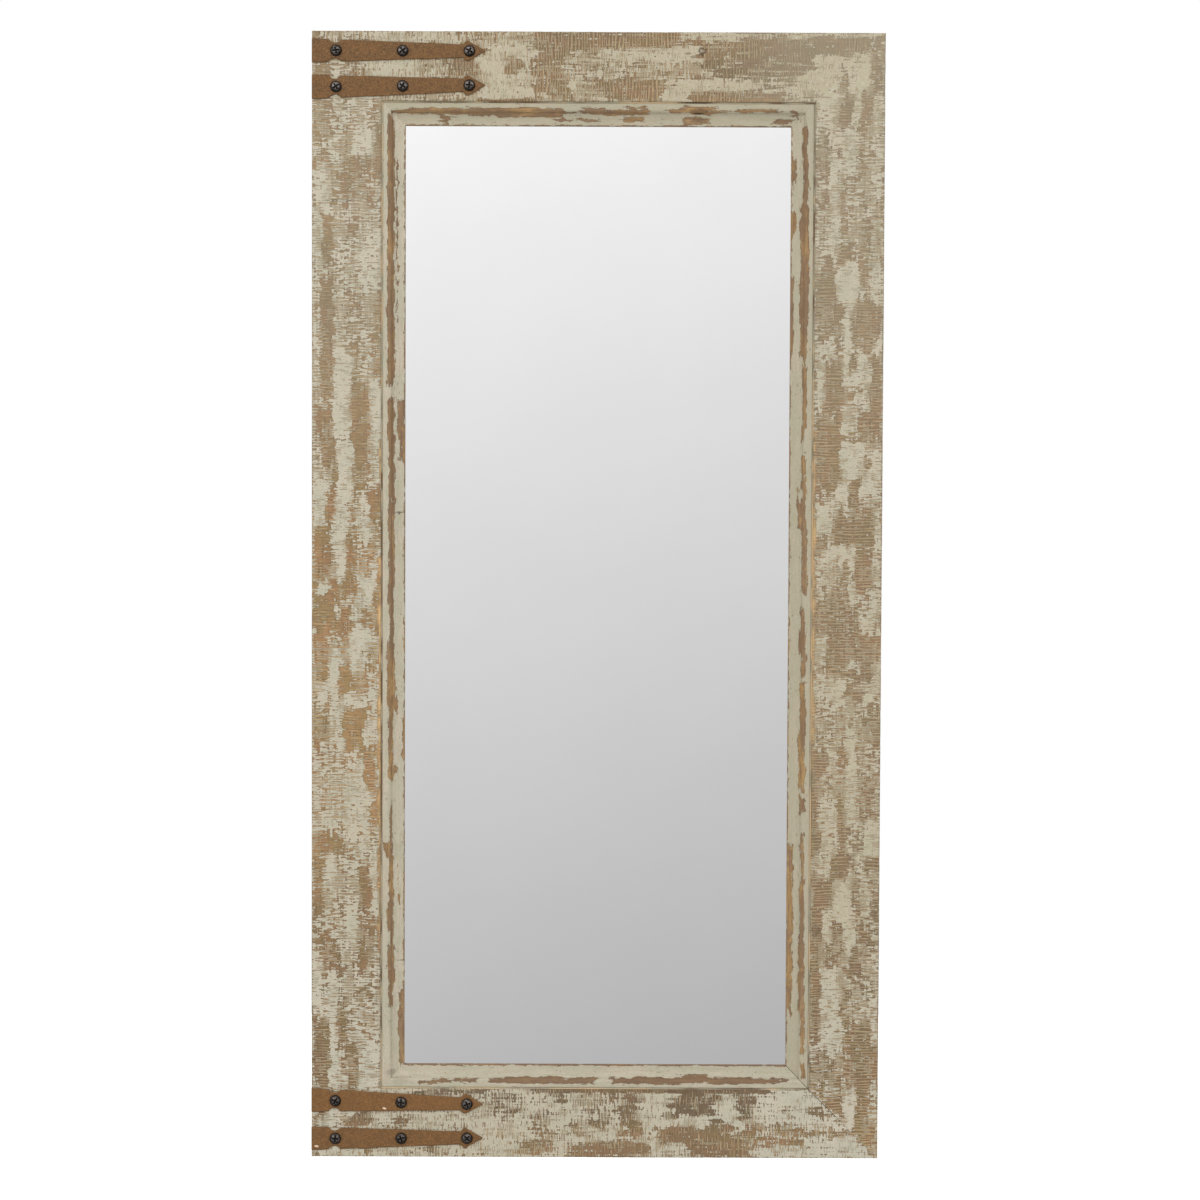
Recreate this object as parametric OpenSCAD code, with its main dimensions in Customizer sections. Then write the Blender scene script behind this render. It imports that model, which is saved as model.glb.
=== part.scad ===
// Wall mirror with a mitred frame of rough-sawn boards, a profiled moulding round the glass, four iron
// corner straps and two swinging hanger rings on the back.
// X runs to the right, Y to the back and Z up. The origin is the middle of the boards.

/* [Frame boards] */
// Width of the whole frame
frame_w = 482; // [430:1:560]
// Height of the whole frame
frame_h = 953; // [820:1:1100]
// Width of each sawn board
board_w = 58.5; // [54:0.5:68]
// Thickness of each sawn board
board_t = 20; // [19:0.5:26]
// Radius worn on the boards' outer front edge
board_outer_r = 1.2; // [0.5:0.1:2]
// Radius worn on the boards' inner front edge
board_inner_r = 1.6; // [0.5:0.1:1.9]
// Radius on the boards' back edges
board_back_r = 0.6; // [0.3:0.1:1]
// Open line left across each mitre
mitre_gap = 0.3; // [0.1:0.1:0.7]

/* [Moulding] */
// Width of the moulding, from the board to the sight edge
moulding_w = 20; // [18:0.5:26]
// Thickness of the moulding, from its bead to its back
moulding_t = 8.5; // [8:0.1:9.5]
// Step down from the board's face to the bead
moulding_step = 2; // [1:0.1:3]
// Width of the groove beside the board
groove_w = 1.2; // [0.8:0.1:2]
// Depth of the groove below the bead
groove_depth = 1.4; // [1.2:0.1:3]
// Width of the flat bead
bead_w = 4.8; // [3:0.1:5.5]
// Radius on the bead beside the groove
bead_r = 0.6; // [0.4:0.1:0.8]
// Radius of the worn round that drops from the bead
round_r = 3.2; // [2:0.1:3.6]
// Radius of the long cove
cove_r = 12; // [9:0.5:20]
// Width of the flat sight lip
lip_w = 2; // [1.5:0.1:3]
// Thickness of the sight lip
lip_t = 2.6; // [2.2:0.1:3.2]
// Radius on the sight edge
lip_r = 1; // [0.5:0.1:1.2]

/* [Glass and backing] */
// Thickness of the mirror glass
glass_t = 4; // [3:0.5:5]
// Gap round the glass inside the boards
glass_gap = 0.8; // [0.4:0.1:2]
// Thickness of the backing board
backing_t = 3; // [2:0.5:4]
// Gap round the backing board inside the boards
backing_gap = 1.2; // [0.4:0.1:3]

/* [Glazing points] */
// Thickness of a glazing point
point_t = 0.6; // [0.4:0.1:0.9]
// Width of a glazing point
point_w = 7; // [5:0.5:9]
// Length of a glazing point
point_l = 16; // [13:0.5:20]
// Length of a glazing point that is driven into the board
point_bite = 7; // [5:0.5:9]
// Spacing of the four glazing points on a stile
stile_point_spacing = 220; // [160:5:250]
// Spacing of the two glazing points on a rail
rail_point_spacing = 190; // [120:5:260]

/* [Moulding pins] */
// Diameter of the headless pins through the mouldings
pin_d = 0.8; // [0.6:0.1:1]
// Length of a pin
pin_l = 30; // [28:1:36]
// Depth that a pin is sunk below the sight edge
pin_sink = 0.4; // [0.2:0.1:1]
// Spacing of the five pins on a stile
stile_pin_spacing = 175; // [120:5:190]
// Spacing of the three pins on a rail
rail_pin_spacing = 120; // [80:5:130]

/* [Mitre nails] */
// Length of each leg of a V nail
vnail_leg = 6; // [4:0.5:7]
// Thickness of a V nail
vnail_t = 0.7; // [0.5:0.1:0.9]
// Depth that a V nail is driven from the back
vnail_depth = 10; // [7:0.5:12]
// Half the angle between the legs of a V nail
vnail_half_angle = 50; // [40:1:60]
// Distance of the outer V nail from the outer corner, along either board
vnail_first = 28; // [25:0.5:32]
// Distance from the outer V nail to the inner one, along either board
vnail_pitch = 18; // [12:0.5:20]

/* [Straps] */
// Thickness of a strap
strap_t = 1.5; // [1:0.1:2.5]
// Width of a strap at its butt end
strap_butt_w = 20.4; // [19:0.1:24]
// Width of a strap at its neck
strap_neck_w = 11; // [10:0.1:13]
// Width of a strap across its barbs
strap_barb_w = 17; // [15:0.1:20]
// Radius of each barb
strap_barb_r = 3.2; // [2:0.1:4]
// Distance from the last screw back to the middle of the barbs
strap_barb_back = 1.6; // [0:0.1:3]
// Distance from the last screw to the tip
strap_point_l = 13.2; // [10:0.1:18]
// Radius of the tip
strap_tip_r = 0.8; // [0.5:0.1:1.5]
// Distance from the frame's left edge to the first screw
strap_screw_first = 20.4; // [20:0.1:24]
// Spacing of the three strap screws
strap_screw_pitch = 56; // [46:0.5:62]
// Radius of the notch in each edge beside the first screw
notch_r = 5.6; // [4:0.1:7]
// Depth of that notch
notch_depth = 2.9; // [1.5:0.1:3.4]
// Distance from the first screw back to the notches
notch_back = 0.7; // [0:0.1:2]

/* [Strap places] */
// Drop of the upper top strap below the frame's top edge, at its first screw
top_outer_drop = 16.7; // [14:0.1:17]
// Drop of the lower top strap below the frame's top edge, at its first screw
top_inner_drop = 46.9; // [42:0.1:52]
// Rise of the lower top strap towards its tip, in degrees
top_inner_tilt = 0.8; // [-2:0.1:2]
// Rise of the upper bottom strap above the frame's bottom edge, at its first screw
bottom_inner_rise = 48.4; // [42:0.1:52]
// Rise of the upper bottom strap towards its tip, in degrees
bottom_inner_tilt = -1.3; // [-2:0.1:2]
// Rise of the lower bottom strap above the frame's bottom edge, at its first screw
bottom_outer_rise = 16.1; // [14:0.1:17]
// Rise of the lower bottom strap towards its tip, in degrees
bottom_outer_tilt = 0.3; // [-1:0.1:1]

/* [Screws] */
// Diameter of a strap screw's round head
strap_head_d = 9.7; // [8:0.1:10.4]
// Height of a strap screw's round head
strap_head_h = 2.9; // [2.4:0.1:3.4]
// Diameter of a hanger screw's head
hanger_head_d = 7.8; // [7:0.1:9]
// Height of a hanger screw's head
hanger_head_h = 2.5; // [2.2:0.1:3]
// Diameter of every screw's shank
shank_d = 3.6; // [3:0.1:4]
// Length of every screw below its head
shank_l = 16; // [12:0.5:18]
// Length of the pointed end of a screw
shank_point_l = 4; // [2.5:0.5:6]
// Length of each arm pair of the cross recess
cross_span = 5.4; // [4.5:0.1:6]
// Width of each arm of the cross recess
cross_slot = 1.1; // [0.9:0.1:1.4]
// Depth of the cross recess
cross_depth = 1.8; // [1.2:0.1:2]
// Clearance round every nail, pin, point and screw
fit_gap = 0.1; // [0.05:0.05:0.2]

/* [Hangers] */
// Drop of the hanger loops below the frame's top edge
hanger_drop = 190; // [120:5:300]
// Width of a hanger plate
hanger_plate_w = 14; // [12:0.5:18]
// Thickness of a hanger plate
hanger_plate_t = 1.2; // [1:0.1:1.6]
// Distance from the loop down to the first hanger screw
hanger_screw_first = 24; // [23:0.5:30]
// Spacing of the two hanger screws
hanger_screw_pitch = 20; // [14:0.5:26]
// Diameter of the ring's wire
ring_wire_d = 3; // [2.5:0.1:3.6]
// Gap between a plate's edge and the ring's side wire
ring_side_gap = 3; // [2.8:0.1:4]
// Radius of the ring's two upper corners, along the wire's middle
ring_corner_r = 2.6; // [2.2:0.1:3]
// Length of the ring's straight sides below those corners
ring_side_l = 1.6; // [0.5:0.1:3]
// Running gap between the wire and the loop
loop_gap = 0.35; // [0.3:0.05:0.5]

/* [Bumpers] */
// Diameter of a bumper where it is glued on
bumper_base_d = 13; // [10:0.5:18]
// Diameter of a bumper's flat end
bumper_end_d = 9; // [6:0.5:9.5]
// Height of a bumper
bumper_h = 5; // [3:0.5:8]
// Rise of the bumpers above the frame's bottom edge
bumper_rise = 30; // [15:1:60]

/* [Hidden] */
$fn = 64;

SIDES = ["left", "right", "top", "bottom"];
POINTS_LONG = 4;
POINTS_SHORT = 2;
PINS_LONG = 5;
PINS_SHORT = 3;
STRAP_SCREWS = 3;
HANGER_SCREWS = 2;
// Turn in degrees of the cross recess: first strap screw, each further strap, hanger screws
FIRST_TURN = 10;
TURN_STEP = 25;
HANGER_TURN = 35;

// How far a cutting shape runs past the face that it cuts
slip = 0.5;

// Faces that the pieces share, from the front of the boards to the back
front_y = -board_t / 2;
back_y = board_t / 2;
glass_y = front_y + moulding_step + moulding_t;
backing_y = glass_y + glass_t;
point_y = backing_y + backing_t;

// The four straps, from the top down: height of the first screw, and tilt
STRAPS = [
    [frame_h / 2 - top_outer_drop, 0],
    [frame_h / 2 - top_inner_drop, top_inner_tilt],
    [bottom_inner_rise - frame_h / 2, bottom_inner_tilt],
    [bottom_outer_rise - frame_h / 2, bottom_outer_tilt]
];
strap_front_y = front_y - strap_t;

// Hanger loop: the plate is rolled round the wire, and the loop stands on the back of the stile
loop_inner_r = ring_wire_d / 2 + loop_gap;
loop_outer_r = loop_inner_r + hanger_plate_t;
hanger_x = frame_w / 2 - board_w / 2;
hanger_z = frame_h / 2 - hanger_drop;
loop_y = back_y + loop_outer_r;
ring_half_w = hanger_plate_w / 2 + ring_side_gap + ring_wire_d / 2;

function is_upright(side) = side == "left" || side == "right";
function side_length(side) = is_upright(side) ? frame_h : frame_w;
// Places of count things in a row with a given spacing, centred on 0
function row(count, pitch) = [for (i = [0 : count - 1]) (i - (count - 1) / 2) * pitch];

// Frame sides
// A side is drawn upright, with its outer edge at X = 0, its front at Y = 0 and its middle at Z = 0,
// and this stands it in its place in the frame.
module on_side(side) {
    if (side == "left") translate([-frame_w / 2, front_y, 0]) children();
    if (side == "right") mirror([1, 0, 0]) translate([-frame_w / 2, front_y, 0]) children();
    if (side == "top") rotate([0, 90, 0]) translate([-frame_h / 2, front_y, 0]) children();
    if (side == "bottom") mirror([0, 0, 1]) rotate([0, 90, 0]) translate([-frame_h / 2, front_y, 0]) children();
}

// Stock of a given section with both ends mitred; the section lies between two distances from the outer edge
module mitred_stock(length, outer, inner) {
    half = length / 2 - mitre_gap / sqrt(2);
    intersection() {
        translate([0, 0, -length / 2]) linear_extrude(length) children();
        translate([0, board_t + slip, 0]) rotate([90, 0, 0]) linear_extrude(board_t + 2 * slip)
            polygon([[outer, outer - half], [inner, inner - half], [inner, half - inner], [outer, half - outer]]);
    }
}

// What rounding takes off a corner at the origin whose material lies towards +X and +Y
module corner_waste(r) {
    difference() {
        translate([-slip, -slip]) square(r + slip);
        translate([r, r]) circle(r);
    }
}

module board_section() {
    difference() {
        square([board_w, board_t]);
        corner_waste(board_outer_r);
        translate([board_w, 0]) mirror([1, 0]) corner_waste(board_inner_r);
        translate([0, board_t]) mirror([0, 1]) corner_waste(board_back_r);
        translate([board_w, board_t]) rotate(180) corner_waste(board_back_r);
    }
}

module moulding_section() {
    round_u = groove_w + bead_w;
    cove_u = round_u + round_r;
    lip_u = moulding_w - lip_w;
    lip_d = moulding_t - lip_t;
    // The cove is an arc from the foot of the round to the lip
    run = [lip_u - cove_u, lip_d - round_r];
    rise = sqrt(cove_r * cove_r - run * run / 4);
    cove_middle = [cove_u, round_r] + run / 2 + rise * [run[1], -run[0]] / norm(run);
    translate([board_w, moulding_step]) difference() {
        square([moulding_w, moulding_t]);
        translate([-slip, -slip]) square([groove_w + slip, groove_depth - groove_w / 2 + slip]);
        translate([groove_w / 2, groove_depth - groove_w / 2]) circle(d = groove_w);
        translate([groove_w, 0]) corner_waste(bead_r);
        translate([cove_u, 0]) mirror([1, 0]) corner_waste(round_r);
        intersection() {
            translate([cove_u, -slip]) square([run[0], moulding_t + slip]);
            translate(cove_middle) circle(cove_r, $fn = 128);
        }
        translate([lip_u, -slip]) square([lip_w + slip, lip_d + slip]);
        translate([moulding_w, lip_d]) mirror([1, 0]) corner_waste(lip_r);
    }
}

// Fasteners in the wood; grow makes the hole that each one is driven into
module glazing_point(grow = 0) {
    tip = board_w - point_bite - grow;
    shoulder = tip + point_w / 2;
    end = board_w - point_bite + point_l;
    half = point_w / 2 + grow;
    thick = point_t + 2 * grow;
    translate([0, point_y - front_y - grow + thick, 0]) rotate([90, 0, 0]) linear_extrude(thick)
        polygon([[tip, 0], [shoulder, half], [end, half], [end, -half], [shoulder, -half]]);
}

module side_points(side, grow = 0) {
    places = is_upright(side) ? row(POINTS_LONG, stile_point_spacing) : row(POINTS_SHORT, rail_point_spacing);
    on_side(side) for (z = places) translate([0, 0, z]) glazing_point(grow);
}

module moulding_pin(grow = 0) {
    sight = board_w + moulding_w;
    outside = grow > 0 ? pin_sink + slip : 0;
    translate([sight - pin_sink - pin_l - grow, moulding_step + moulding_t - lip_t / 2, 0]) rotate([0, 90, 0])
        cylinder(h = pin_l + grow + outside, d = pin_d + 2 * grow, $fn = 24);
}

module side_pins(side, grow = 0) {
    places = is_upright(side) ? row(PINS_LONG, stile_pin_spacing) : row(PINS_SHORT, rail_pin_spacing);
    on_side(side) for (z = places) translate([0, 0, z]) moulding_pin(grow);
}

// One V nail, its bend on the mitre and its legs reaching back towards the outer corner
module vnail(grow = 0) {
    outside = grow > 0 ? slip : 0;
    translate([0, back_y + outside, 0]) rotate([90, 0, 0]) linear_extrude(vnail_depth + grow + outside)
        for (turn = [-vnail_half_angle, vnail_half_angle]) rotate(turn)
            translate([-vnail_leg - grow, -vnail_t / 2 - grow]) square([vnail_leg + 2 * grow, vnail_t + 2 * grow]);
}

module corner_vnails(grow = 0) {
    for (reach = [vnail_first, vnail_first + vnail_pitch])
        translate([reach - frame_w / 2, 0, frame_h / 2 - reach]) rotate([0, 45, 0]) vnail(grow);
}

module all_vnails(grow = 0) {
    for (flip_x = [0, 1]) mirror([flip_x, 0, 0])
        for (flip_z = [0, 1]) mirror([0, 0, flip_z]) corner_vnails(grow);
}

// Screws stand on Z, the underside of the head at 0 and the shank below it
module cross_recess(head_h) {
    translate([0, 0, head_h - cross_depth]) {
        cylinder(h = cross_depth + slip, d1 = cross_slot, d2 = 2.4 * cross_slot, $fn = 32);
        for (turn = [0, 90]) rotate(turn) translate([-cross_span / 2, -cross_slot / 2, 0])
            cube([cross_span, cross_slot, cross_depth + slip]);
    }
}

module screw(head_d, head_h, turn) {
    dome_r = (head_d * head_d / 4 + head_h * head_h) / (2 * head_h);
    difference() {
        rotate_extrude() intersection() {
            translate([0, head_h - dome_r]) circle(dome_r);
            square([head_d / 2, head_h]);
        }
        rotate(turn) cross_recess(head_h);
    }
    translate([0, 0, shank_point_l - shank_l]) cylinder(h = shank_l - shank_point_l, d = shank_d, $fn = 32);
    translate([0, 0, -shank_l]) cylinder(h = shank_point_l, d1 = 0.4, d2 = shank_d, $fn = 32);
}

module screw_hole() {
    translate([0, 0, -shank_l - fit_gap]) cylinder(h = shank_l + fit_gap + slip, d = shank_d + 2 * fit_gap, $fn = 32);
}

// Straps
// Two points where a straight line touches two circles on their upper side
function touch(centre_a, r_a, centre_b, r_b) =
    let (gap = centre_b - centre_a, lean = atan2(gap[1], gap[0]) + asin((r_a - r_b) / norm(gap)) + 90)
    [centre_a + r_a * [cos(lean), sin(lean)], centre_b + r_b * [cos(lean), sin(lean)]];

strap_barb_x = (STRAP_SCREWS - 1) * strap_screw_pitch - strap_barb_back;
function strap_half(x) = strap_butt_w / 2
    - (strap_butt_w - strap_neck_w) / 2 * (x + strap_screw_first) / (strap_barb_x + strap_screw_first);

// A strap laid flat, its first screw at the origin, its tip towards +X and its back at Z = 0
module strap_blank() {
    butt_x = -strap_screw_first - 2;
    neck_x = strap_barb_x + strap_barb_r;
    barb = [strap_barb_x, strap_barb_w / 2 - strap_barb_r];
    tip = [(STRAP_SCREWS - 1) * strap_screw_pitch + strap_point_l - strap_tip_r, 0];
    flank = touch(barb, strap_barb_r, tip, strap_tip_r);
    notch_x = -notch_back;
    difference() {
        union() {
            linear_extrude(strap_t) polygon([[butt_x, strap_half(butt_x)], [neck_x, strap_half(neck_x)],
                [neck_x, -strap_half(neck_x)], [butt_x, -strap_half(butt_x)]]);
            linear_extrude(strap_t) polygon([barb, flank[0], flank[1], [flank[1][0], -flank[1][1]],
                [flank[0][0], -flank[0][1]], [barb[0], -barb[1]]]);
            for (flip = [-1, 1]) translate([barb[0], flip * barb[1], 0]) cylinder(h = strap_t, r = strap_barb_r);
            translate(tip) cylinder(h = strap_t, r = strap_tip_r, $fn = 24);
        }
        for (flip = [-1, 1])
            translate([notch_x, flip * (strap_half(notch_x) + notch_r - notch_depth), -slip])
                cylinder(h = strap_t + 2 * slip, r = notch_r);
    }
}

module at_strap(place) {
    translate([strap_screw_first - frame_w / 2, 0, place[0]]) rotate([0, -place[1], 0]) children();
}

module at_strap_screws(place) {
    at_strap(place) for (i = [0 : STRAP_SCREWS - 1]) translate([i * strap_screw_pitch, strap_front_y, 0])
        rotate([90, 0, 0]) children();
}

module strap(place) {
    color("#8a6142") difference() {
        at_strap(place) translate([0, front_y, 0]) rotate([90, 0, 0]) strap_blank();
        // The butt end is cut flush with the side of the frame
        translate([-frame_w / 2 - strap_butt_w, strap_front_y - slip, place[0] - strap_butt_w])
            cube([strap_butt_w, strap_t + 2 * slip, 2 * strap_butt_w]);
        at_strap_screws(place) screw_hole();
    }
}

// Hangers, drawn on the right-hand stile
module at_hanger_screws() {
    for (i = [0 : HANGER_SCREWS - 1])
        translate([hanger_x, back_y + hanger_plate_t, hanger_z - hanger_screw_first - i * hanger_screw_pitch])
            rotate([-90, 0, 0]) children();
}

module hanger_plate() {
    last_screw = hanger_screw_first + (HANGER_SCREWS - 1) * hanger_screw_pitch;
    color("#b9b6ab") difference() {
        union() {
            translate([hanger_x, loop_y, hanger_z]) rotate([0, 90, 0])
                cylinder(h = hanger_plate_w, r = loop_outer_r, center = true);
            translate([hanger_x, back_y + hanger_plate_t, hanger_z]) rotate([90, 0, 0]) linear_extrude(hanger_plate_t) {
                translate([-hanger_plate_w / 2, -last_screw]) square([hanger_plate_w, last_screw]);
                translate([0, -last_screw]) circle(d = hanger_plate_w);
            }
        }
        translate([hanger_x, loop_y, hanger_z]) rotate([0, 90, 0])
            cylinder(h = hanger_plate_w + 2 * slip, r = loop_inner_r, center = true);
        at_hanger_screws() screw_hole();
    }
}

// The ring hangs from its top wire, which runs through the loop
module hanger_ring() {
    corner_x = ring_half_w - ring_corner_r;
    bow_z = -ring_corner_r - ring_side_l;
    color("#c4c1b6") translate([hanger_x, loop_y, hanger_z]) {
        rotate([0, 90, 0]) cylinder(h = 2 * corner_x, d = ring_wire_d, center = true, $fn = 32);
        for (flip = [0, 1]) mirror([flip, 0, 0]) {
            translate([corner_x, 0, -ring_corner_r]) rotate([90, 0, 0])
                rotate_extrude(angle = 90) translate([ring_corner_r, 0]) circle(d = ring_wire_d, $fn = 32);
            translate([ring_half_w, 0, bow_z]) cylinder(h = ring_side_l, d = ring_wire_d, $fn = 32);
        }
        translate([0, 0, bow_z]) rotate([90, 180, 0])
            rotate_extrude(angle = 180) translate([ring_half_w, 0]) circle(d = ring_wire_d, $fn = 32);
    }
}

module bumper() {
    color("#3a3733") translate([hanger_x, back_y, bumper_rise - frame_h / 2]) rotate([-90, 0, 0])
        cylinder(h = bumper_h, d1 = bumper_base_d, d2 = bumper_end_d);
}

// Boards and mouldings
module board(side) {
    color("#c5bea6") difference() {
        on_side(side) mitred_stock(side_length(side), 0, board_w) board_section();
        side_points(side, fit_gap);
        side_pins(side, fit_gap);
        all_vnails(fit_gap);
        if (side != "right") for (place = STRAPS) at_strap_screws(place) screw_hole();
        if (side == "left") mirror([1, 0, 0]) at_hanger_screws() screw_hole();
        if (side == "right") at_hanger_screws() screw_hole();
    }
}

module moulding(side) {
    color("#cdc6ae") difference() {
        on_side(side) mitred_stock(side_length(side), board_w, board_w + moulding_w) moulding_section();
        side_pins(side, fit_gap);
    }
}

module left_stile() { board("left"); }
module right_stile() { board("right"); }
module top_rail() { board("top"); }
module bottom_rail() { board("bottom"); }

module left_moulding() { moulding("left"); }
module right_moulding() { moulding("right"); }
module top_moulding() { moulding("top"); }
module bottom_moulding() { moulding("bottom"); }

// A flat sheet that fills the boards' opening, less a gap all round
module sheet(gap, y, thick) {
    w = frame_w - 2 * board_w - 2 * gap;
    h = frame_h - 2 * board_w - 2 * gap;
    translate([-w / 2, y, -h / 2]) cube([w, thick, h]);
}

module mirror_glass() { color("#d9dcdd") sheet(glass_gap, glass_y, glass_t); }
module backing_board() { color("#8f6b45") sheet(backing_gap, backing_y, backing_t); }

module glazing_points() { color("#a9abad") for (side = SIDES) side_points(side); }
module moulding_pins() { color("#8e9092") for (side = SIDES) side_pins(side); }
module mitre_nails() { color("#8e9092") all_vnails(); }

module strap_top_outer() { strap(STRAPS[0]); }
module strap_top_inner() { strap(STRAPS[1]); }
module strap_bottom_inner() { strap(STRAPS[2]); }
module strap_bottom_outer() { strap(STRAPS[3]); }

module strap_screws() {
    color("#3d3b3b") for (i = [0 : len(STRAPS) - 1])
        at_strap_screws(STRAPS[i]) screw(strap_head_d, strap_head_h, FIRST_TURN + TURN_STEP * i);
}

module left_hanger_plate() { mirror([1, 0, 0]) hanger_plate(); }
module right_hanger_plate() { hanger_plate(); }
module left_hanger_ring() { mirror([1, 0, 0]) hanger_ring(); }
module right_hanger_ring() { hanger_ring(); }

module hanger_screws() {
    color("#b0aea6") for (flip = [0, 1]) mirror([flip, 0, 0])
        at_hanger_screws() screw(hanger_head_d, hanger_head_h, HANGER_TURN);
}

module left_bumper() { mirror([1, 0, 0]) bumper(); }
module right_bumper() { bumper(); }

left_stile();
right_stile();
top_rail();
bottom_rail();
left_moulding();
right_moulding();
top_moulding();
bottom_moulding();
mirror_glass();
backing_board();
glazing_points();
moulding_pins();
mitre_nails();
strap_top_outer();
strap_top_inner();
strap_bottom_inner();
strap_bottom_outer();
strap_screws();
left_hanger_plate();
right_hanger_plate();
left_hanger_ring();
right_hanger_ring();
hanger_screws();
left_bumper();
right_bumper();
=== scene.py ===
import math

import bpy
import numpy as np
from mathutils import Matrix, Vector


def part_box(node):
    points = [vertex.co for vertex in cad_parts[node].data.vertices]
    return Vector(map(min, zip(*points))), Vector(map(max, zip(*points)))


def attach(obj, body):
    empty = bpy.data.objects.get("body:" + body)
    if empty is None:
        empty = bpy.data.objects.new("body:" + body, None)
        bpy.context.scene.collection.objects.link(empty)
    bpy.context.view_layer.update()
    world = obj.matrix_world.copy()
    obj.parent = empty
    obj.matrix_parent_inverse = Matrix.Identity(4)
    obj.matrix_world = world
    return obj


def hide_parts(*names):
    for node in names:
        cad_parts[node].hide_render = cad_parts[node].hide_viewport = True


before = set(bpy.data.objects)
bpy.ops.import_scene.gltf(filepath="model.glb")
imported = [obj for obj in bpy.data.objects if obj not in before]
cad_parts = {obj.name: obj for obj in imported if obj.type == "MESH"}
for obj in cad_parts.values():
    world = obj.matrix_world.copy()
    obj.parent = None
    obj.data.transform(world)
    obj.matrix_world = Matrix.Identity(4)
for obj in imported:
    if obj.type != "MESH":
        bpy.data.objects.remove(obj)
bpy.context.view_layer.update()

# Boards. Four rough-sawn pine boards, 58.5 mm wide and 20 mm thick, mitred at the corners and painted
# once in a pale sage cream. The paint is worn off in patches, most on the saw ridges and on the edge
# beside the moulding, and the back is raw.
MM = 0.001
# The frame's outside and where its front lies, a board's width and thickness, and how far its outer, inner
# and back edges are rounded, all in mm
FRAME_W, FRAME_H, FRONT_Y = 482.0, 953.0, -10.0
BOARD_W, BOARD_T = 58.5, 20.0
OUTER_R, INNER_R, BACK_R = 1.2, 1.6, 0.6
SIDE_LENGTH = {"left": FRAME_H, "right": FRAME_H, "top": FRAME_W, "bottom": FRAME_W}
# Each mitre is a hairline; the lower right one has opened towards the glass, from this far across the boards
HAIRLINE, MITRE_OPEN, OPEN_FROM = 0.01, 0.25, 26.0
# Spacing of the mesh along a board, across its face, on its walls and on its back, and of the saw's marks
ALONG_ROW, FACE_ROW, WALL_ROW, BACK_ROW, SAW_MARK = 1.0, 2.25, 3.2, 5.0, 2.5
# How far worn places run on over a mitre, and the size of the random grid behind all relief
MITRE_BLEND, GRID = 14.0, (61, 709)


def arc(centre, radius, start, end, count):
    """Points on an arc, from one angle to another in degrees."""
    turn = np.radians(np.linspace(start, end, count))
    return [(centre[0] + radius * math.cos(a), centre[1] + radius * math.sin(a)) for a in turn]


def line(start, end, spacing):
    """Points between two points, without the two themselves."""
    count = max(int(round(math.dist(start, end) / spacing)), 1)
    return [(start[0] + (end[0] - start[0]) * i / count, start[1] + (end[1] - start[1]) * i / count)
            for i in range(1, count)]


def rough(across, along, lump_across, lump_along, seed):
    """Smooth random relief from -1 to 1, with lumps of a given size in both directions."""
    grid = np.random.default_rng(seed).uniform(-1, 1, GRID)
    (row, part_a), (column, part_b) = ((np.floor(v).astype(int), v - np.floor(v))
                                       for v in (across / lump_across, along / lump_along))
    part_a, part_b = (p * p * (3 - 2 * p) for p in (part_a, part_b))
    near, far = (grid[(row + i) % GRID[0], column % GRID[1]] * (1 - part_b)
                 + grid[(row + i) % GRID[0], (column + 1) % GRID[1]] * part_b for i in (0, 1))
    return near * (1 - part_a) + far * part_a


def inside(value, low, high, soft):
    """How far a value lies inside two limits, from below 0 outside to 1 well inside, rounded by soft."""
    return np.minimum(np.minimum(value - low, high - value) / soft + 0.5, 1)


def between(value, low, high, soft):
    """1 between two limits and 0 outside them, with soft ends."""
    return np.clip(inside(value, low, high, soft), 0, 1)


def worn(across, along, patches, base, wander, soft, seed):
    """How bare the wood is, from -1 for whole paint to 1; later patches lie over earlier ones."""
    shift_across = wander[0] * (rough(across, along, 9, 9, seed) + 0.6 * rough(across, along, 4, 4, seed + 1))
    shift_along = wander[1] * (rough(across, along, 5, 14, seed + 2)
                               + 0.8 * rough(across, along, 2.4, 9, seed + 3))
    bare = np.full_like(across, base)
    for near, far, start, end, level in patches:
        deep_across = inside(across + shift_across, near, far, soft[0])
        deep_along = inside(along + shift_along, start, end, soft[1])
        # The corner of a patch is cut where it lies little inside both ways
        here = np.clip(np.minimum(np.minimum(deep_across, deep_along), deep_across + deep_along - 0.4), 0, 1)
        bare = bare + (level - bare) * here
    return bare


def over_mitres(side, across, along, field):
    """A field that runs on over both mitres of a side, since the frame was painted when it was joined."""
    upright, first = side in ("left", "right"), side in ("left", "top")
    partners = ("top", "bottom") if upright else ("left", "right")
    level = field(side, across, along)
    for partner, reach in zip(partners, (along, SIDE_LENGTH[side] - along)):
        share = np.clip(0.5 - (reach - across) / MITRE_BLEND, 0, 0.5)
        other = field(partner, reach, across if first else SIDE_LENGTH[partner] - across)
        level = level + share * (other - level)
    return level


def place_side(side, across, depth, along):
    """World points of a side, from the distance to its outer edge, the depth and the distance along it."""
    if side in ("left", "right"):
        x, z = across - FRAME_W / 2, FRAME_H / 2 - along
        x = -x if side == "right" else x
    else:
        x, z = along - FRAME_W / 2, FRAME_H / 2 - across
        z = -z if side == "bottom" else z
    return np.stack([x, FRONT_Y + depth, z], -1) * MM


def make_mesh(name, points, faces):
    """A smooth-shaded object whose faces all look outwards."""
    mesh = bpy.data.meshes.new(name)
    mesh.from_pydata(points.tolist(), [], faces)
    a, b, c, d = (points[[f[min(i, len(f) - 1)] for f in faces]] for i in range(4))
    if ((np.cross(a, b) * c) + (np.cross(a, c) * d)).sum() < 0:
        mesh.flip_normals()
    mesh.shade_smooth()
    mesh.set_sharp_from_angle(angle=math.radians(50))
    piece = bpy.data.objects.new(name, mesh)
    bpy.context.scene.collection.objects.link(piece)
    return piece


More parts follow.
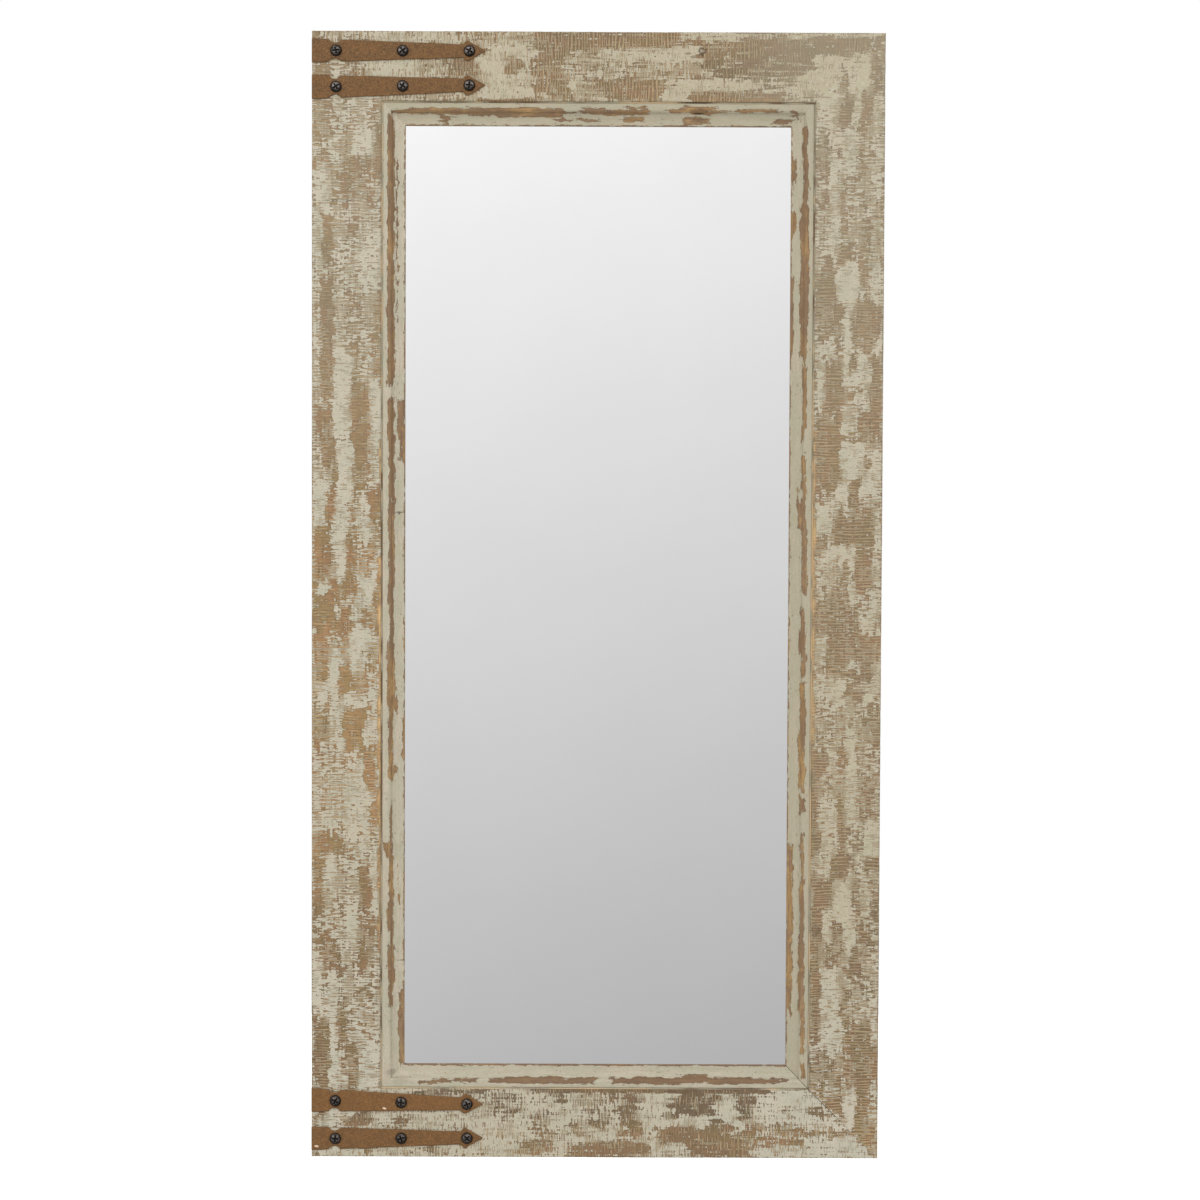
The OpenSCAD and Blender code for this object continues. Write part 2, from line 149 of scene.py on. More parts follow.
def give(piece, **named):
    """Stores a number or a vector on every vertex of a piece, under a name that its material reads."""
    for name, values in named.items():
        kind, field = ("FLOAT", "value") if values.ndim == 1 else ("FLOAT_VECTOR", "vector")
        stored = piece.data.attributes.new(name, kind, "POINT").data
        stored.foreach_set(field, values.astype(np.float32).ravel())


def run_side(name, side, section, outer, spacing, sink):
    """Runs a section along a frame side, mitred at both ends. sink says how deep each point is worn in."""
    across, depth = (section[:, i] for i in range(2))
    length = SIDE_LENGTH[side]
    gap = HAIRLINE + MITRE_OPEN * np.clip((across - OPEN_FROM) / 8, 0, 1) * (side in ("right", "bottom"))
    count = int(round((length - 2 * outer) / spacing)) + 1
    share = np.linspace(0, 1, count)[:, None]
    start, end = across + HAIRLINE, length - across - gap
    along = start + (end - start) * share
    across, depth = (np.broadcast_to(v, along.shape) for v in (across, depth))
    ahead, behind = np.roll(section, -1, 0), np.roll(section, 1, 0)
    normal = (ahead - behind)[:, ::-1] * (1, -1)
    normal /= np.linalg.norm(normal, axis=1)[:, None]
    deep = sink(across, depth, along) * np.clip((np.minimum(along, length - along) - across) / 5 + 0.1, 0, 1)
    points = place_side(side, across - normal[:, 0] * deep, depth - normal[:, 1] * deep, along).reshape(-1, 3)
    n = len(section)
    here = np.arange((count - 1) * n).reshape(-1, n)
    there = np.roll(here, -1, 1)
    faces = np.stack([here, there, there + n, here + n], -1).reshape(-1, 4).tolist()
    faces += [list(range(n))[::-1], list(range((count - 1) * n, count * n))]
    piece = make_mesh(name, points, faces)
    give(piece, place=np.stack([across, along, depth], -1).reshape(-1, 3))
    return piece, across.ravel(), depth.ravel(), along.ravel()


def board_section():
    """The board's outline: up the outer wall, over the front, down the inner wall and back."""
    w, t = BOARD_W, BOARD_T
    return np.array(
        line((0, t - BACK_R), (0, OUTER_R), WALL_ROW) + arc((OUTER_R, OUTER_R), OUTER_R, 180, 270, 5)
        + line((OUTER_R, 0), (w - INNER_R, 0), FACE_ROW) + arc((w - INNER_R, INNER_R), INNER_R, 270, 360, 5)
        + line((w, INNER_R), (w, t - BACK_R), WALL_ROW) + arc((w - BACK_R, t - BACK_R), BACK_R, 0, 90, 3)
        + line((w - BACK_R, t), (BACK_R, t), BACK_ROW) + arc((BACK_R, t - BACK_R), BACK_R, 90, 180, 3))


# Worn and whole patches of each board: across from, across to, along from, along to, in mm from the outer
# edge and from the top or left end, and how bare
BOARD_PATCHES = {"left": [
    (1, 15, 26, 39, 0.9), (2, 15, 57, 64, 0.8), (3, 15, 64, 81, 0.5), (51, 60, 57, 73, 0.3),
    (2, 16, 80, 91, 0.4), (25, 35, 82, 108, 0.3), (35, 52, 81, 105, -0.8), (52, 61, 80, 122, 0.9),
    (2, 14, 107, 119, 0.5), (29, 50, 105, 122, 0.75), (17, 54, 122, 144, 0.3), (26, 31, 108, 144, 0.7),
    (2, 15, 119, 149, -0.6), (9, 17, 150, 196, 0.85), (2, 8, 150, 196, -0.6), (28, 39, 156, 172, 0.4),
    (41, 59, 172, 217, -0.6), (8, 18, 205, 307, 0.95), (29, 44, 216, 238, 0.3), (29, 52, 243, 252, 0.25),
    (31, 40, 254, 292, 0.4), (51, 60, 223, 269, 0.55), (52, 60, 272, 291, 0.7), (19, 34, 268, 339, -0.85),
    (33, 48, 292, 367, 0.95), (49, 59, 293, 353, -0.85), (2, 19, 319, 339, 0.95), (2, 13, 339, 356, 0.2),
    (11, 21, 339, 367, 0.9), (16, 21, 367, 386, 0.9), (2, 13, 377, 416, -0.9), (13, 21, 388, 412, 0.9),
    (21, 34, 344, 422, -0.9), (34, 46, 367, 390, 0.6), (49, 59, 385, 411, 0.9), (31, 46, 393, 403, 0.4),
    (31, 40, 407, 428, 0.45), (40, 48, 394, 428, -0.8), (48, 59, 412, 430, 0.2), (2, 16, 418, 457, 0.95),
    (21, 29, 422, 455, -0.9), (29, 38, 427, 461, 0.95), (40, 53, 428, 454, 0.3), (38, 53, 455, 483, -0.9),
    (26, 38, 462, 474, 0.95), (2, 25, 460, 483, 0.9), (6, 14, 459, 477, -0.8), (51, 59, 466, 483, 0.6),
    (2, 34, 483, 519, 0.95), (21, 24, 483, 494, -0.7), (11, 27, 506, 512, -0.5), (34, 42, 489, 498, -0.6),
    (42, 58, 485, 506, 0.5), (31, 52, 505, 534, -0.85), (46, 58, 517, 538, 0.3), (15, 25, 517, 555, -0.9),
    (2, 15, 513, 548, 0.6), (23, 33, 532, 556, 1), (33, 51, 539, 553, 0.5), (5, 16, 549, 567, -0.6),
    (16, 57, 556, 572, -0.6), (2, 16, 567, 602, 0.6), (16, 28, 570, 606, -0.5), (27, 48, 571, 607, 0.95),
    (43, 57, 582, 605, -0.7), (44, 53, 605, 640, 1), (37, 44, 608, 640, -0.9), (29, 39, 627, 682, -0.85),
    (50, 60, 640, 668, 0.5), (41, 50, 641, 691, -0.6), (2, 29, 676, 692, 0.8), (8, 18, 662, 675, -0.7),
    (9, 21, 695, 725, -0.6), (2, 11, 692, 741, 0.85), (41, 50, 701, 741, 0.9), (50, 58, 691, 741, -0.7),
    (2, 16, 759, 772, 0.6), (30, 39, 738, 772, -0.85), (39, 59, 747, 772, 0.4), (2, 9, 780, 831, -0.75),
    (9, 24, 772, 799, 0.5), (14, 22, 799, 896, -0.75), (40, 53, 772, 790, 0.9), (37, 51, 806, 816, 0.5),
    (22, 30, 815, 855, 0.75), (2, 15, 833, 893, 0.95), (30, 41, 855, 896, 0.65), (41, 57, 858, 895, -0.6),
    (2, 11, 914, 921, 0.9), (3, 21, 920, 927, -0.7)
], "right": [
    (0, 12, 12, 60, 0.6), (13, 31, 14, 50, -0.95), (24, 28, 26, 35, 0.5), (30, 39, 38, 46, 0.8),
    (39, 60, 36, 62, -0.75), (42, 58, 56, 79, -0.6), (26, 37, 53, 77, 0.85), (20, 26, 35, 78, -0.8),
    (10, 20, 55, 77, 0.85), (12, 20, 48, 58, 0.8), (1, 10, 52, 142, -0.4), (9, 42, 78, 83, 0.4),
    (48, 53, 83, 101, 0.8), (23, 47, 83, 117, -0.65), (18, 23, 88, 116, 0.5), (45, 58, 99, 123, 0.45),
    (35, 40, 97, 108, 0.6), (44, 52, 130, 144, 0.6), (32, 39, 130, 168, 0.55), (39, 45, 116, 194, -0.85),
    (8, 16, 162, 172, 0.6), (12, 21, 172, 194, 0.5), (26, 40, 179, 194, 0.85), (40, 57, 202, 231, 0.95),
    (43, 49.5, 188, 194.5, 1), (43, 50, 193, 199, 0.75), (41, 52, 198, 205, 0.95), (18, 40, 194, 235, -0.95),
    (12, 19, 194, 214, 0.7), (3, 11, 194, 225, -0.6), (2, 24, 225, 240, 0.95), (33, 56, 231, 260, 0.6),
    (27, 34, 235, 294, -0.9), (1, 28, 240, 269, 0.75), (42, 56, 257, 274, -0.7), (34, 50, 272, 315, 0.95),
    (50, 56, 280, 311, -0.8), (21, 29, 274, 285, 0.85), (13, 22, 269, 283, -0.9), (1, 9, 252, 272, -0.5),
    (1, 13, 274, 337, 0.9), (10, 27, 286, 299, -0.85), (23, 33, 295, 304, 0.7), (12, 26, 304, 313, -0.6),
    (33, 56, 319, 383, 0.92), (29, 34, 313, 337, -0.8), (8, 19, 316, 337, 0.9), (16, 35, 345, 373, -0.9),
    (1, 32, 337, 344, 0.4), (1, 13, 347, 373, -0.65), (11, 14, 358, 365, 0.8), (29, 38, 375, 403, -0.9),
    (19, 29, 374, 396, 0.95), (6, 19, 375, 392, -0.75), (41, 56, 394, 420, -0.8), (8, 41, 402, 433, 0.9),
    (1, 8, 414, 481, -0.4), (46, 56, 420, 447, 0.5), (23, 50, 432, 450, -0.9), (8, 23, 434, 466, 0.85),
    (28, 41, 445, 469, 0.5), (40, 55, 450, 475, -0.3), (22, 29, 462, 481, -0.5), (29, 50, 470, 481, 0.6),
    (18, 56, 481, 506, 0.65), (7, 17, 490, 508, -0.8), (46, 55, 506, 523, -0.6), (0, 46, 506, 545, 0.75),
    (18, 31, 530, 536, -0.6), (31, 55, 544, 568, -0.3), (31, 41, 547, 563, -0.85), (16, 31, 551, 561, 0.9),
    (7, 14, 556, 571, -0.7), (1, 6, 527, 563, -0.6), (1, 15, 569, 580, 0.85), (21, 30, 587, 625, -0.65),
    (1, 8, 580, 600, 0.85), (45, 58, 601, 625, 0.95), (38, 45, 599, 625, -0.5), (30, 38, 601, 625, 0.6),
    (52, 59, 625, 690, 0.9), (33, 51, 644, 690, -0.4), (29, 36, 644, 690, 0.9), (19, 29, 625, 666, -0.5),
    (2, 19, 625, 666, 0.45), (2, 14, 666, 693, -0.9), (22, 41, 690, 710, 0.9), (41, 51, 690, 706, -0.4),
    (1, 11, 694, 708, 0.85), (38, 58, 713, 741, 0.95), (23, 38, 713, 750, -0.95), (16, 24, 721, 742, 0.55),
    (7, 15, 709, 736, -0.5), (1, 8, 717, 745, 0.5), (40, 50, 739, 770, -0.6), (50, 58, 741, 854, 0.9),
    (31, 41, 752, 770, 0.85), (18, 31, 750, 774, -0.65), (7, 21, 755, 770, 0.85), (31, 50, 770, 789, 0.4),
    (14, 25, 778, 798, 0.85), (33, 48, 789, 803, -0.6), (32, 50, 805, 862, -0.55), (25, 32, 807, 835, 0.6),
    (7, 28, 837, 854, 0.92), (0, 7, 807, 854, -0.35), (0, 28, 854, 894, 0.7), (31, 58, 863, 896, 0.4),
    (19, 29, 894, 928, -0.85), (31, 48, 898, 920, 0.8), (48, 60, 873, 900, 0.4), (9, 19, 873, 927, 0.95),
    (4, 26, 925, 951, 1)
], "top": [
    (0, 11, 44, 120, -0.55), (24, 39, 46, 89, -0.7), (27, 39, 89, 94, 0.7), (23, 39, 114, 143, 0.6),
    (0, 16, 185, 246, 0.8), (19, 47, 142, 164, -0.88), (13, 22, 155, 185, -0.9), (22, 35, 164, 175, 0.9),
    (35, 44, 166, 184, -0.9), (17, 57, 187, 214, 0.65), (47, 56, 143, 185, -0.9), (40, 50, 213, 226, -0.7),
    (43, 54, 226, 246, 0.5), (51, 56, 195, 201, -0.6), (54, 58, 233, 246, -0.6), (-1, 14, 246, 314, 0.85),
    (-1, 7, 315, 372, -0.5), (14, 24, 246, 285, -0.45), (13, 24, 285, 327, -0.88), (7, 13, 317, 338, 0.95),
    (12, 31, 326, 338, 0.95), (8, 24, 338, 372, 0.6), (26, 37, 343, 372, 0.88), (40, 57, 246, 296, 0.88),
    (40, 58, 296, 320, -0.9), (41, 50, 320, 372, -0.8), (51, 58, 321, 393, 0.85), (6, 25, 364, 432, 0.92),
    (4, 18, 430, 471, 0.92), (8, 13, 417, 424, -0.4), (26, 41, 364, 407, 0.55), (18, 32, 402, 425, 0.8),
    (20, 34, 424, 471, -0.95), (33, 48, 407, 452, -0.95), (24, 33, 444, 449, 0.4), (-1, 3, 400, 482, -0.5),
    (4, 17, 468, 482, 0.5)
], "bottom": [
    (27, 38, 23, 37, 0.6), (27, 38, 35, 57, 0.88), (23, 33, 70, 82, 0.8), (2, 8, 40, 52, 0.5),
    (1, 8, 100, 109, 0.5), (52, 58, 80, 122, 0.5), (54, 58, 122, 149, 0.75), (37, 56, 150, 172, 0.2),
    (37, 43, 163, 173, 0.7), (18, 41, 186, 204, 0.15), (47, 56, 204, 215, 0.6), (18, 31, 220, 228, 0.5),
    (23, 32, 240, 250, 0.5), (4, 16, 174, 204, 0.65), (0, 12, 220, 250, 0.75), (33, 55, 228, 264, 0),
    (18, 56, 264, 278, 0.75), (39, 56, 288, 309, -0.85), (34, 40, 296, 311, 0.85), (38, 56, 308, 332, 1),
    (38, 55, 333, 350, 0.92), (23, 50, 343, 367, -0.9), (28, 35, 286, 342, -0.85), (12, 27, 294, 355, 0.95),
    (0, 22, 319, 373, 0.88), (0, 14, 246, 286, 0.88), (25, 34, 338, 355, 0.85), (32, 56, 365, 376, 0.75),
    (29, 56, 393, 427, -0.92), (35, 43, 403, 408, 0.6), (34, 47, 427, 438, 0.5), (9, 29, 369, 417, 0.35),
    (19, 24, 408, 455, 0.45), (36, 46, 420, 432, 0.4), (44, 58, 404, 420, -0.95), (1, 19, 443, 466, -0.9)
]}
BOARD_SEED = {"left": 10, "right": 40, "top": 70, "bottom": 100}
BOARD_BASE = {"left": -0.15, "right": 0.05, "top": 0.0, "bottom": -0.5}
# Runs along each board where its edge beside the moulding is rubbed: along from and to, the width, and how
# much brighter the rubbed wood is coloured there, a painted highlight, or below 0 how much darker
EDGE_RUNS = {
    "left": [(343, 377, 1.5, 0.8), (440, 600, 1.5, 1.0), (600, 774, 1.5, 0.55)],
    "right": [(338, 600, 1.5, 0.6), (600, 694, 1.5, 0.15)],
    "top": [(143, 185, 1.6, -0.15), (321, 393, 1.5, 0.15)],
    "bottom": [(186, 250, 2.0, -0.25), (250, 390, 2.2, -0.4)],
}
# What changes along each board, as (distance along it, value) pairs
ALONG_BOARD = {
    # Colour of the bare wood, from 0 for greyed brown to 1 for orange tan
    "warmth": {
        "left": [(0, 0.6), (200, 0.6), (430, 0.75), (520, 0.95), (640, 1), (730, 0.6), (840, 0.4),
                 (900, 0.2)],
        "right": [(0, 0.45), (180, 0.4), (300, 0.5), (640, 0.5), (760, 0.4), (880, 0.4), (953, 0.75)],
        "top": [(0, 0.35), (120, 0.4), (290, 0.5), (330, 0.4), (400, 0.35), (482, 0.4)],
        "bottom": [(0, 0.05), (170, 0.05), (290, 0.1), (310, -0.15), (350, -0.15), (380, 0.1), (482, 0.3)]},
    # How yellow the paint has aged
    "aged": {
        "left": [(0, 0.35), (120, 0.15), (500, 0.2), (640, 0.4), (740, 0.4), (860, 0), (953, 0.1)],
        "right": [(0, 0.8), (70, 0.5), (120, 0.35), (380, 0.4), (480, 0.6), (740, 0.75), (860, 0.15),
                  (953, 0)],
        "top": [(0, 0.35), (90, 0.65), (330, 0.85), (400, 0.85), (482, 0.8)],
        "bottom": [(0, 0.1), (90, 0.45), (250, 0.45), (400, 0.1), (482, 0)]},
    # How much paint is left in the pores of the bare wood
    "film": {
        "left": [(0, 0.2), (250, 0.2), (420, 0)],
        "right": [(0, 0.4), (100, 0.27), (220, 0.26), (380, 0.1), (560, 0.12), (700, 0.08), (953, 0)],
        "top": [(0, 0.06), (340, 0.06), (400, 0.34), (482, 0.4)], "bottom": [(0, 0)]},
    # Share of the grain in the wear; the rest is saw marks
    "grain": {"left": [(0, 0)], "right": [(0, 0)], "top": [(0, 0.1), (160, 0.2), (210, 0.5), (482, 1)],
              "bottom": [(0, 0.4), (260, 0.35), (482, 0.6)]},
    # How clearly the saw left its lines on the bare wood
    "hatched": {"left": [(0, 0.4), (430, 0.3), (800, 0.2), (880, 0.9), (953, 1)],
                "right": [(0, 0.6), (380, 0.8), (953, 1)], "bottom": [(0, 0.3), (482, 0.2)],
                "top": [(0, 0.9), (240, 0.9), (350, 0.5), (410, 0.1)]},
}
# How much warmer the bare wood is on the outer half of each board
OUTER_WARMTH = {"left": 0, "right": 0, "top": 0, "bottom": 0.4}
# Knots and a cut on the boards' faces: x, z, half width and half height in mm, and how dark
KNOTS = [(87.0, 460.0, 3.4, 3.2, 0.85), (79.5, 455.8, 2.2, 1.1, 0.7), (74.5, 458.6, 2.4, 0.9, 0.7),
         (187.0, -281.0, 4.0, 4.6, 0.5), (-217.0, 334.5, 9.0, 0.9, 0.5)]


def tint(red, green, blue):
    """A colour as a material takes it, from its 0 to 255 screen values."""
    linear = (((v / 255 + 0.055) / 1.055) ** 2.4 if v > 10 else v / 255 / 12.92 for v in (red, green, blue))
    return (*linear, 1)


class Wire:
    """One output in a node tree. Arithmetic on wires adds Math nodes, and add() makes any other node."""

    def __init__(self, tree, output=None):
        self.tree, self.output = tree, output

    def add(self, kind, settings, sockets, pick=0):
        node = self.tree.nodes.new("ShaderNode" + kind)
        for name, value in settings.items():
            setattr(node, name, value)
        for key, value in sockets.items():
            if isinstance(value, Wire):
                self.tree.links.new(value.output, node.inputs[key])
            else:
                node.inputs[key].default_value = value
        return Wire(self.tree, node.outputs[pick] if node.outputs else None)

    def math(self, operation, *terms):
        return self.add("Math", {"operation": operation}, dict(enumerate(terms)))

    def __add__(self, other):
        return self.math("ADD", self, other)

    def __radd__(self, other):
        return self.math("ADD", other, self)

    def __sub__(self, other):
        return self.math("SUBTRACT", self, other)

    def __rsub__(self, other):
        return self.math("SUBTRACT", other, self)

    def __mul__(self, other):
        return self.math("MULTIPLY", self, other)

    def __rmul__(self, other):
        return self.math("MULTIPLY", other, self)

    def __pow__(self, other):
        return self.math("POWER", self, other)

    def step(self, low, high):
        """0 up to low, 1 from high on and smooth between them; low may also be the larger."""
        return self.add("MapRange", {"interpolation_type": "SMOOTHSTEP"},
                        {"Value": self, "From Min": low, "From Max": high})

    def noise(self, stretch, shift=0, detail=3.0, roughness=0.6):
        """Noise over this vector, after its axes are multiplied and shifted, all alike if by one number."""
        stretch, shift = ((v,) * 3 if isinstance(v, (int, float)) else v for v in (stretch, shift))
        vector = self.add("VectorMath", {"operation": "MULTIPLY_ADD"}, {0: self, 1: stretch, 2: shift})
        return self.add("TexNoise", {},
                        {"Vector": vector, "Scale": 1.0, "Detail": detail, "Roughness": roughness})

    def blend(self, colour, other):
        """The first colour where this wire is 0 and the other where it is 1; plain ones as screen values."""
        colour, other = (c if isinstance(c, Wire) else tint(*c) for c in (colour, other))
        return self.add("Mix", {"data_type": "RGBA"}, {0: self, 6: colour, 7: other}, pick=2)

    def layered(self, *layers):
        """This colour under others, each laid on by a share where its own wire steps from low to high."""
        colour = self
        for wire, low, high, share, shade in layers:
            colour = (wire.step(low, high) * share).blend(colour, shade)
        return colour

    def axis(self, name):
        return self.add("SeparateXYZ", {}, {0: self}, pick=name)

    def away(self, centre, half):
        """How far this position lies from a point in mm: 1 at the edge of an oval of half sizes in mm."""
        reach = self.add("VectorMath", {"operation": "MULTIPLY_ADD"},
                         {0: self, 1: [1000 / h for h in half], 2: [-c / h for c, h in zip(centre, half)]})
        return reach.add("VectorMath", {"operation": "LENGTH"}, {0: reach}, pick="Value")

    def named(self, attribute, pick="Fac"):
        return self.add("Attribute", {"attribute_name": attribute}, {}, pick=pick)


def new_tree(owner):
    """The wire to start the nodes of a material or world from, with its own nodes taken out."""
    owner.use_nodes = True
    owner.node_tree.nodes.clear()
    return Wire(owner.node_tree)


def finish(recipe):
    """Turns a recipe into the material of its name.

    The recipe says the surface's sockets, a height for its bumps and how deep they are, in metres."""
    material = bpy.data.materials.new(recipe.__name__)
    wires = new_tree(material)
    sockets, height, depth = recipe(wires, wires.add("TexCoord", {}, {}, pick="Object"))
    if depth:
        sockets["Normal"] = wires.add("Bump", {}, {"Height": height, "Distance": depth, "Strength": 1.0})
    wires.add("OutputMaterial", {}, {"Surface": wires.add("BsdfPrincipled", {}, sockets)})
    return material


@finish
def painted_board(wires, here):
    """Cream paint over sawn pine; saw marks run across the board and show through both."""
    place = wires.named("place", "Vector")
    level, warmth, bright, aged, film, grain, hatched, plank = (wires.named(name) for name in (
        "bare", "warmth", "bright", "aged", "film", "grain", "hatched", "plank"))
    # Saw marks that bend, fade and break, then chips, specks and strands of the grain
    bend = place.noise((0.016, 0.07, 0.016), 4, 2.0, 0.5)
    turn = place.axis("Y") * (2 * math.pi / SAW_MARK) + bend * 22
    strong = place.noise((0.11, 0.045, 0.11), (8, 3, 1)).step(0.42, 0.66)
    hatch = turn.math("SINE", turn)
    saw = hatch * (strong * 0.85 + 0.25)
    dash = place.noise((0.13, 0.55, 0.13), (3, 0, 1), 1.0, 0.55)
    chip = place.noise((0.3, 0.2, 0.3), (7, 5, 3))
    speck = place.noise((0.9, 1.1, 0.9), (1, 9, 4), 1.0, 0.5)
    strand = place.noise((0.6, 0.045, 0.6), (5, 2, 8))
    broad = place.noise((0.06, 0.035, 0.06), (2, 1, 6), 2.0, 0.5)
    hue = place.noise((0.09, 0.03, 0.09), (12, 7, 2), 3.0, 0.55)
    sawn = saw * 0.62 + (dash - 0.5) * 3.1
    thin = (level * 0.68 + sawn * (1 - grain * 0.35) + (chip - 0.5) * 1.5
            + (strand - 0.5) * (grain * 2.4 + 1.4))
    bare = thin.step(-0.06, 0.08)
    valley = (0.5 - dash) * 2.2 - saw * 0.7
    furrow = valley * (1 - hatched * 0.35) - hatch * hatched * 0.55
    wood = hue.step(0.36, 0.64).blend(warmth.blend((118, 98, 78), (168, 131, 92)),
                                      warmth.blend((114, 99, 75), (155, 130, 90)))
    # Painted shade and highlight: the wood is coloured darker in the saw valleys and paler on their crests,
    # and darker just beside the paint's edge, a painted shadow of the paint
    wood = wood.layered((furrow, 0.1, 0.7, 0.4, (90, 72, 52)), (thin, 0.4, 0.06, 0.4, (92, 74, 52)),
                        (furrow, -0.2, -0.85, 0.48, (204, 184, 148)), (strand, 0.54, 0.7, 0.4, (104, 83, 61)))
    # The edge beside the moulding is coloured brighter where it is rubbed, bare wood with a painted
    # highlight, and darker where its value is below 0
    wood = bright.blend(film.blend(wood, (174, 167, 146)), (220, 182, 130))
    wood = (0 - bright).blend(wood, (98, 72, 46))
    # The back is raw: paler, with its grain in long lines
    rings = place.noise((0.3, 0.009, 0.3), plank, 4.0)
    raw = rings.step(0.36, 0.62).blend(hue.blend((206, 178, 136), (194, 162, 120)), (162, 126, 86))
    wood = level.step(1.4, 2.0).blend(wood, raw.layered((strand, 0.5, 0.7, 0.4, (146, 112, 78))))
    paint = aged.blend(broad.step(0.35, 0.65).blend((189, 185, 165), (199, 190, 170)), (183, 171, 143))
    # Painted highlight: the paint is coloured paler along its chipped edge; in the saw valleys it is darker
    paint = paint.layered((chip, 0.5, 0.7, 0.4, (204, 197, 181)), (thin, -0.4, -0.1, 0.45, (206, 198, 180)),
                          (valley, 0.3, 0.8, 0.6, (134, 120, 92)), (speck, 0.66, 0.72, 0.8, (108, 94, 70)))
    # Knots and a cut, with dark rings that stay visible through the paint
    ragged = (chip - 0.5) * 2.4 + (speck - 0.5) * 0.9
    dark = 0
    for x, z, half_x, half_z, shade in KNOTS:
        reach = here.away((x, FRONT_Y, z), (half_x, 5, half_z)) + ragged
        dark = dark + (reach.step(0.2, 0.8) * 0.6 + 0.4) * reach.step(1.2, 0.8) * shade
    colour = dark.blend(bare.blend(paint, wood), (78, 62, 48))
    height = (1 - bare) * 0.5 + saw * 0.3 + dash * 0.5 + speck * 0.1
    return {"Base Color": colour, "Roughness": 0.62 + bare * 0.2, "Specular IOR Level": 0.35}, height, 0.0004


def board_wear(side, across, along):
    """How bare a board's face is, from its own patches."""
    return worn(across, along, BOARD_PATCHES[side], BOARD_BASE[side], (1.9, 5.5), (2.4, 6.0),
                BOARD_SEED[side])


def dress_board(side, node):
    """Builds one board, worn and sawn, in the place of its CAD solid."""
    seed = BOARD_SEED[side]

    def sink(across, depth, along):
        face = np.clip(1 - depth / 6, 0.25, 1) * (depth < BOARD_T - 1)
        saw = (rough(across + depth, along, 13, 1.45, seed + 7) * 0.7
               + rough(across + depth, along, 7, 2.9, seed + 8) * 0.5)
        slow = rough(across, along, 24, 46, seed + 9) + 1
        chipped = np.clip(over_mitres(side, across, along, board_wear) * 2, 0, 1)
        behind = (depth > BOARD_T - 0.3) * (0.09 + 0.05 * rough(across, along, 9, 60, seed + 13))
        return face * (0.05 * (saw + 1.2) * (0.7 + chipped) + 0.06 * slow + 0.12 * chipped) + behind

    piece, across, depth, along = run_side(f"{node}_wood", side, board_section(), 0, ALONG_ROW, sink)
    level = over_mitres(side, across, along, board_wear)
    # The walls are thinly painted and their edges rubbed; the back and the wall behind the moulding are raw
    wall = np.clip((depth - 1.5) / 2, 0, 1)
    level = level * (1 - wall) + wall * (-0.5 + 0.9 * rough(depth, along, 7, 30, seed + 5))
    level = level + 0.5 * np.clip(1 - np.abs(across - 0.2) / 0.8, 0, 1) * (depth < 3)
    level = np.where((depth > BOARD_T - 2.5) | ((across > BOARD_W - 0.3) & (depth > 8)), 2.5, level)
    rubbed, bright = np.zeros_like(across), np.zeros_like(across)
    ragged = 0.6 * rough(across, along, 3, 9, seed + 6)
    for start, end, width, shine in EDGE_RUNS[side]:
        run = between(along + 4 * rough(across, along, 8, 10, seed + 4), start, end, 8) * (depth < 5)
        run = run * between(across, BOARD_W - width + ragged, BOARD_W + 1, 0.7)
        rubbed, bright = rubbed + run, bright + shine * run
    patchy = np.clip(0.6 + 0.8 * rough(across, along, 4, 6, seed + 11), 0, 1)
    changing = {name: np.interp(along, *zip(*sides[side])) for name, sides in ALONG_BOARD.items()}
    changing["warmth"] += (0.2 * rough(across, along, 15, 50, seed + 3)
                           + OUTER_WARMTH[side] * np.clip((36 - across) / 12, 0, 1))
    give(piece, bare=np.where(level > 2, level, np.minimum(level + rubbed * 2.6, 1.2)),
         bright=bright * patchy, plank=np.full_like(across, seed / 14), **changing)
    piece.data.materials.append(painted_board)
    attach(piece, "frame")
    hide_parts(node)


for side, node in (("left", "left_stile"), ("right", "right_stile"),
                   ("top", "top_rail"), ("bottom", "bottom_rail")):
    dress_board(side, node)


# Mouldings. A planed pine strip, 20 mm wide, glued and pinned into the boards' opening: a groove beside the
# board, a flat bead, a round, a long cove and a thin sight edge. The paint is rubbed off along the round and
# the sight edge, and the groove is half filled with it.

# The strip's width, how far it lies behind the boards' faces, its thickness and the spacing of its mesh,
# then the sizes of its groove, bead, round, cove and lip
MOULD_W, MOULD_STEP, MOULD_T, MOULD_ROW = 20.0, 2.0, 8.5, 2.2
GROOVE_W, GROOVE_DEEP, BEAD_W, BEAD_R, ROUND_R = 1.2, 0.8, 4.8, 0.6, 3.2
COVE_R, LIP_W, LIP_T, LIP_R = 12.0, 2.0, 2.6, 1.0


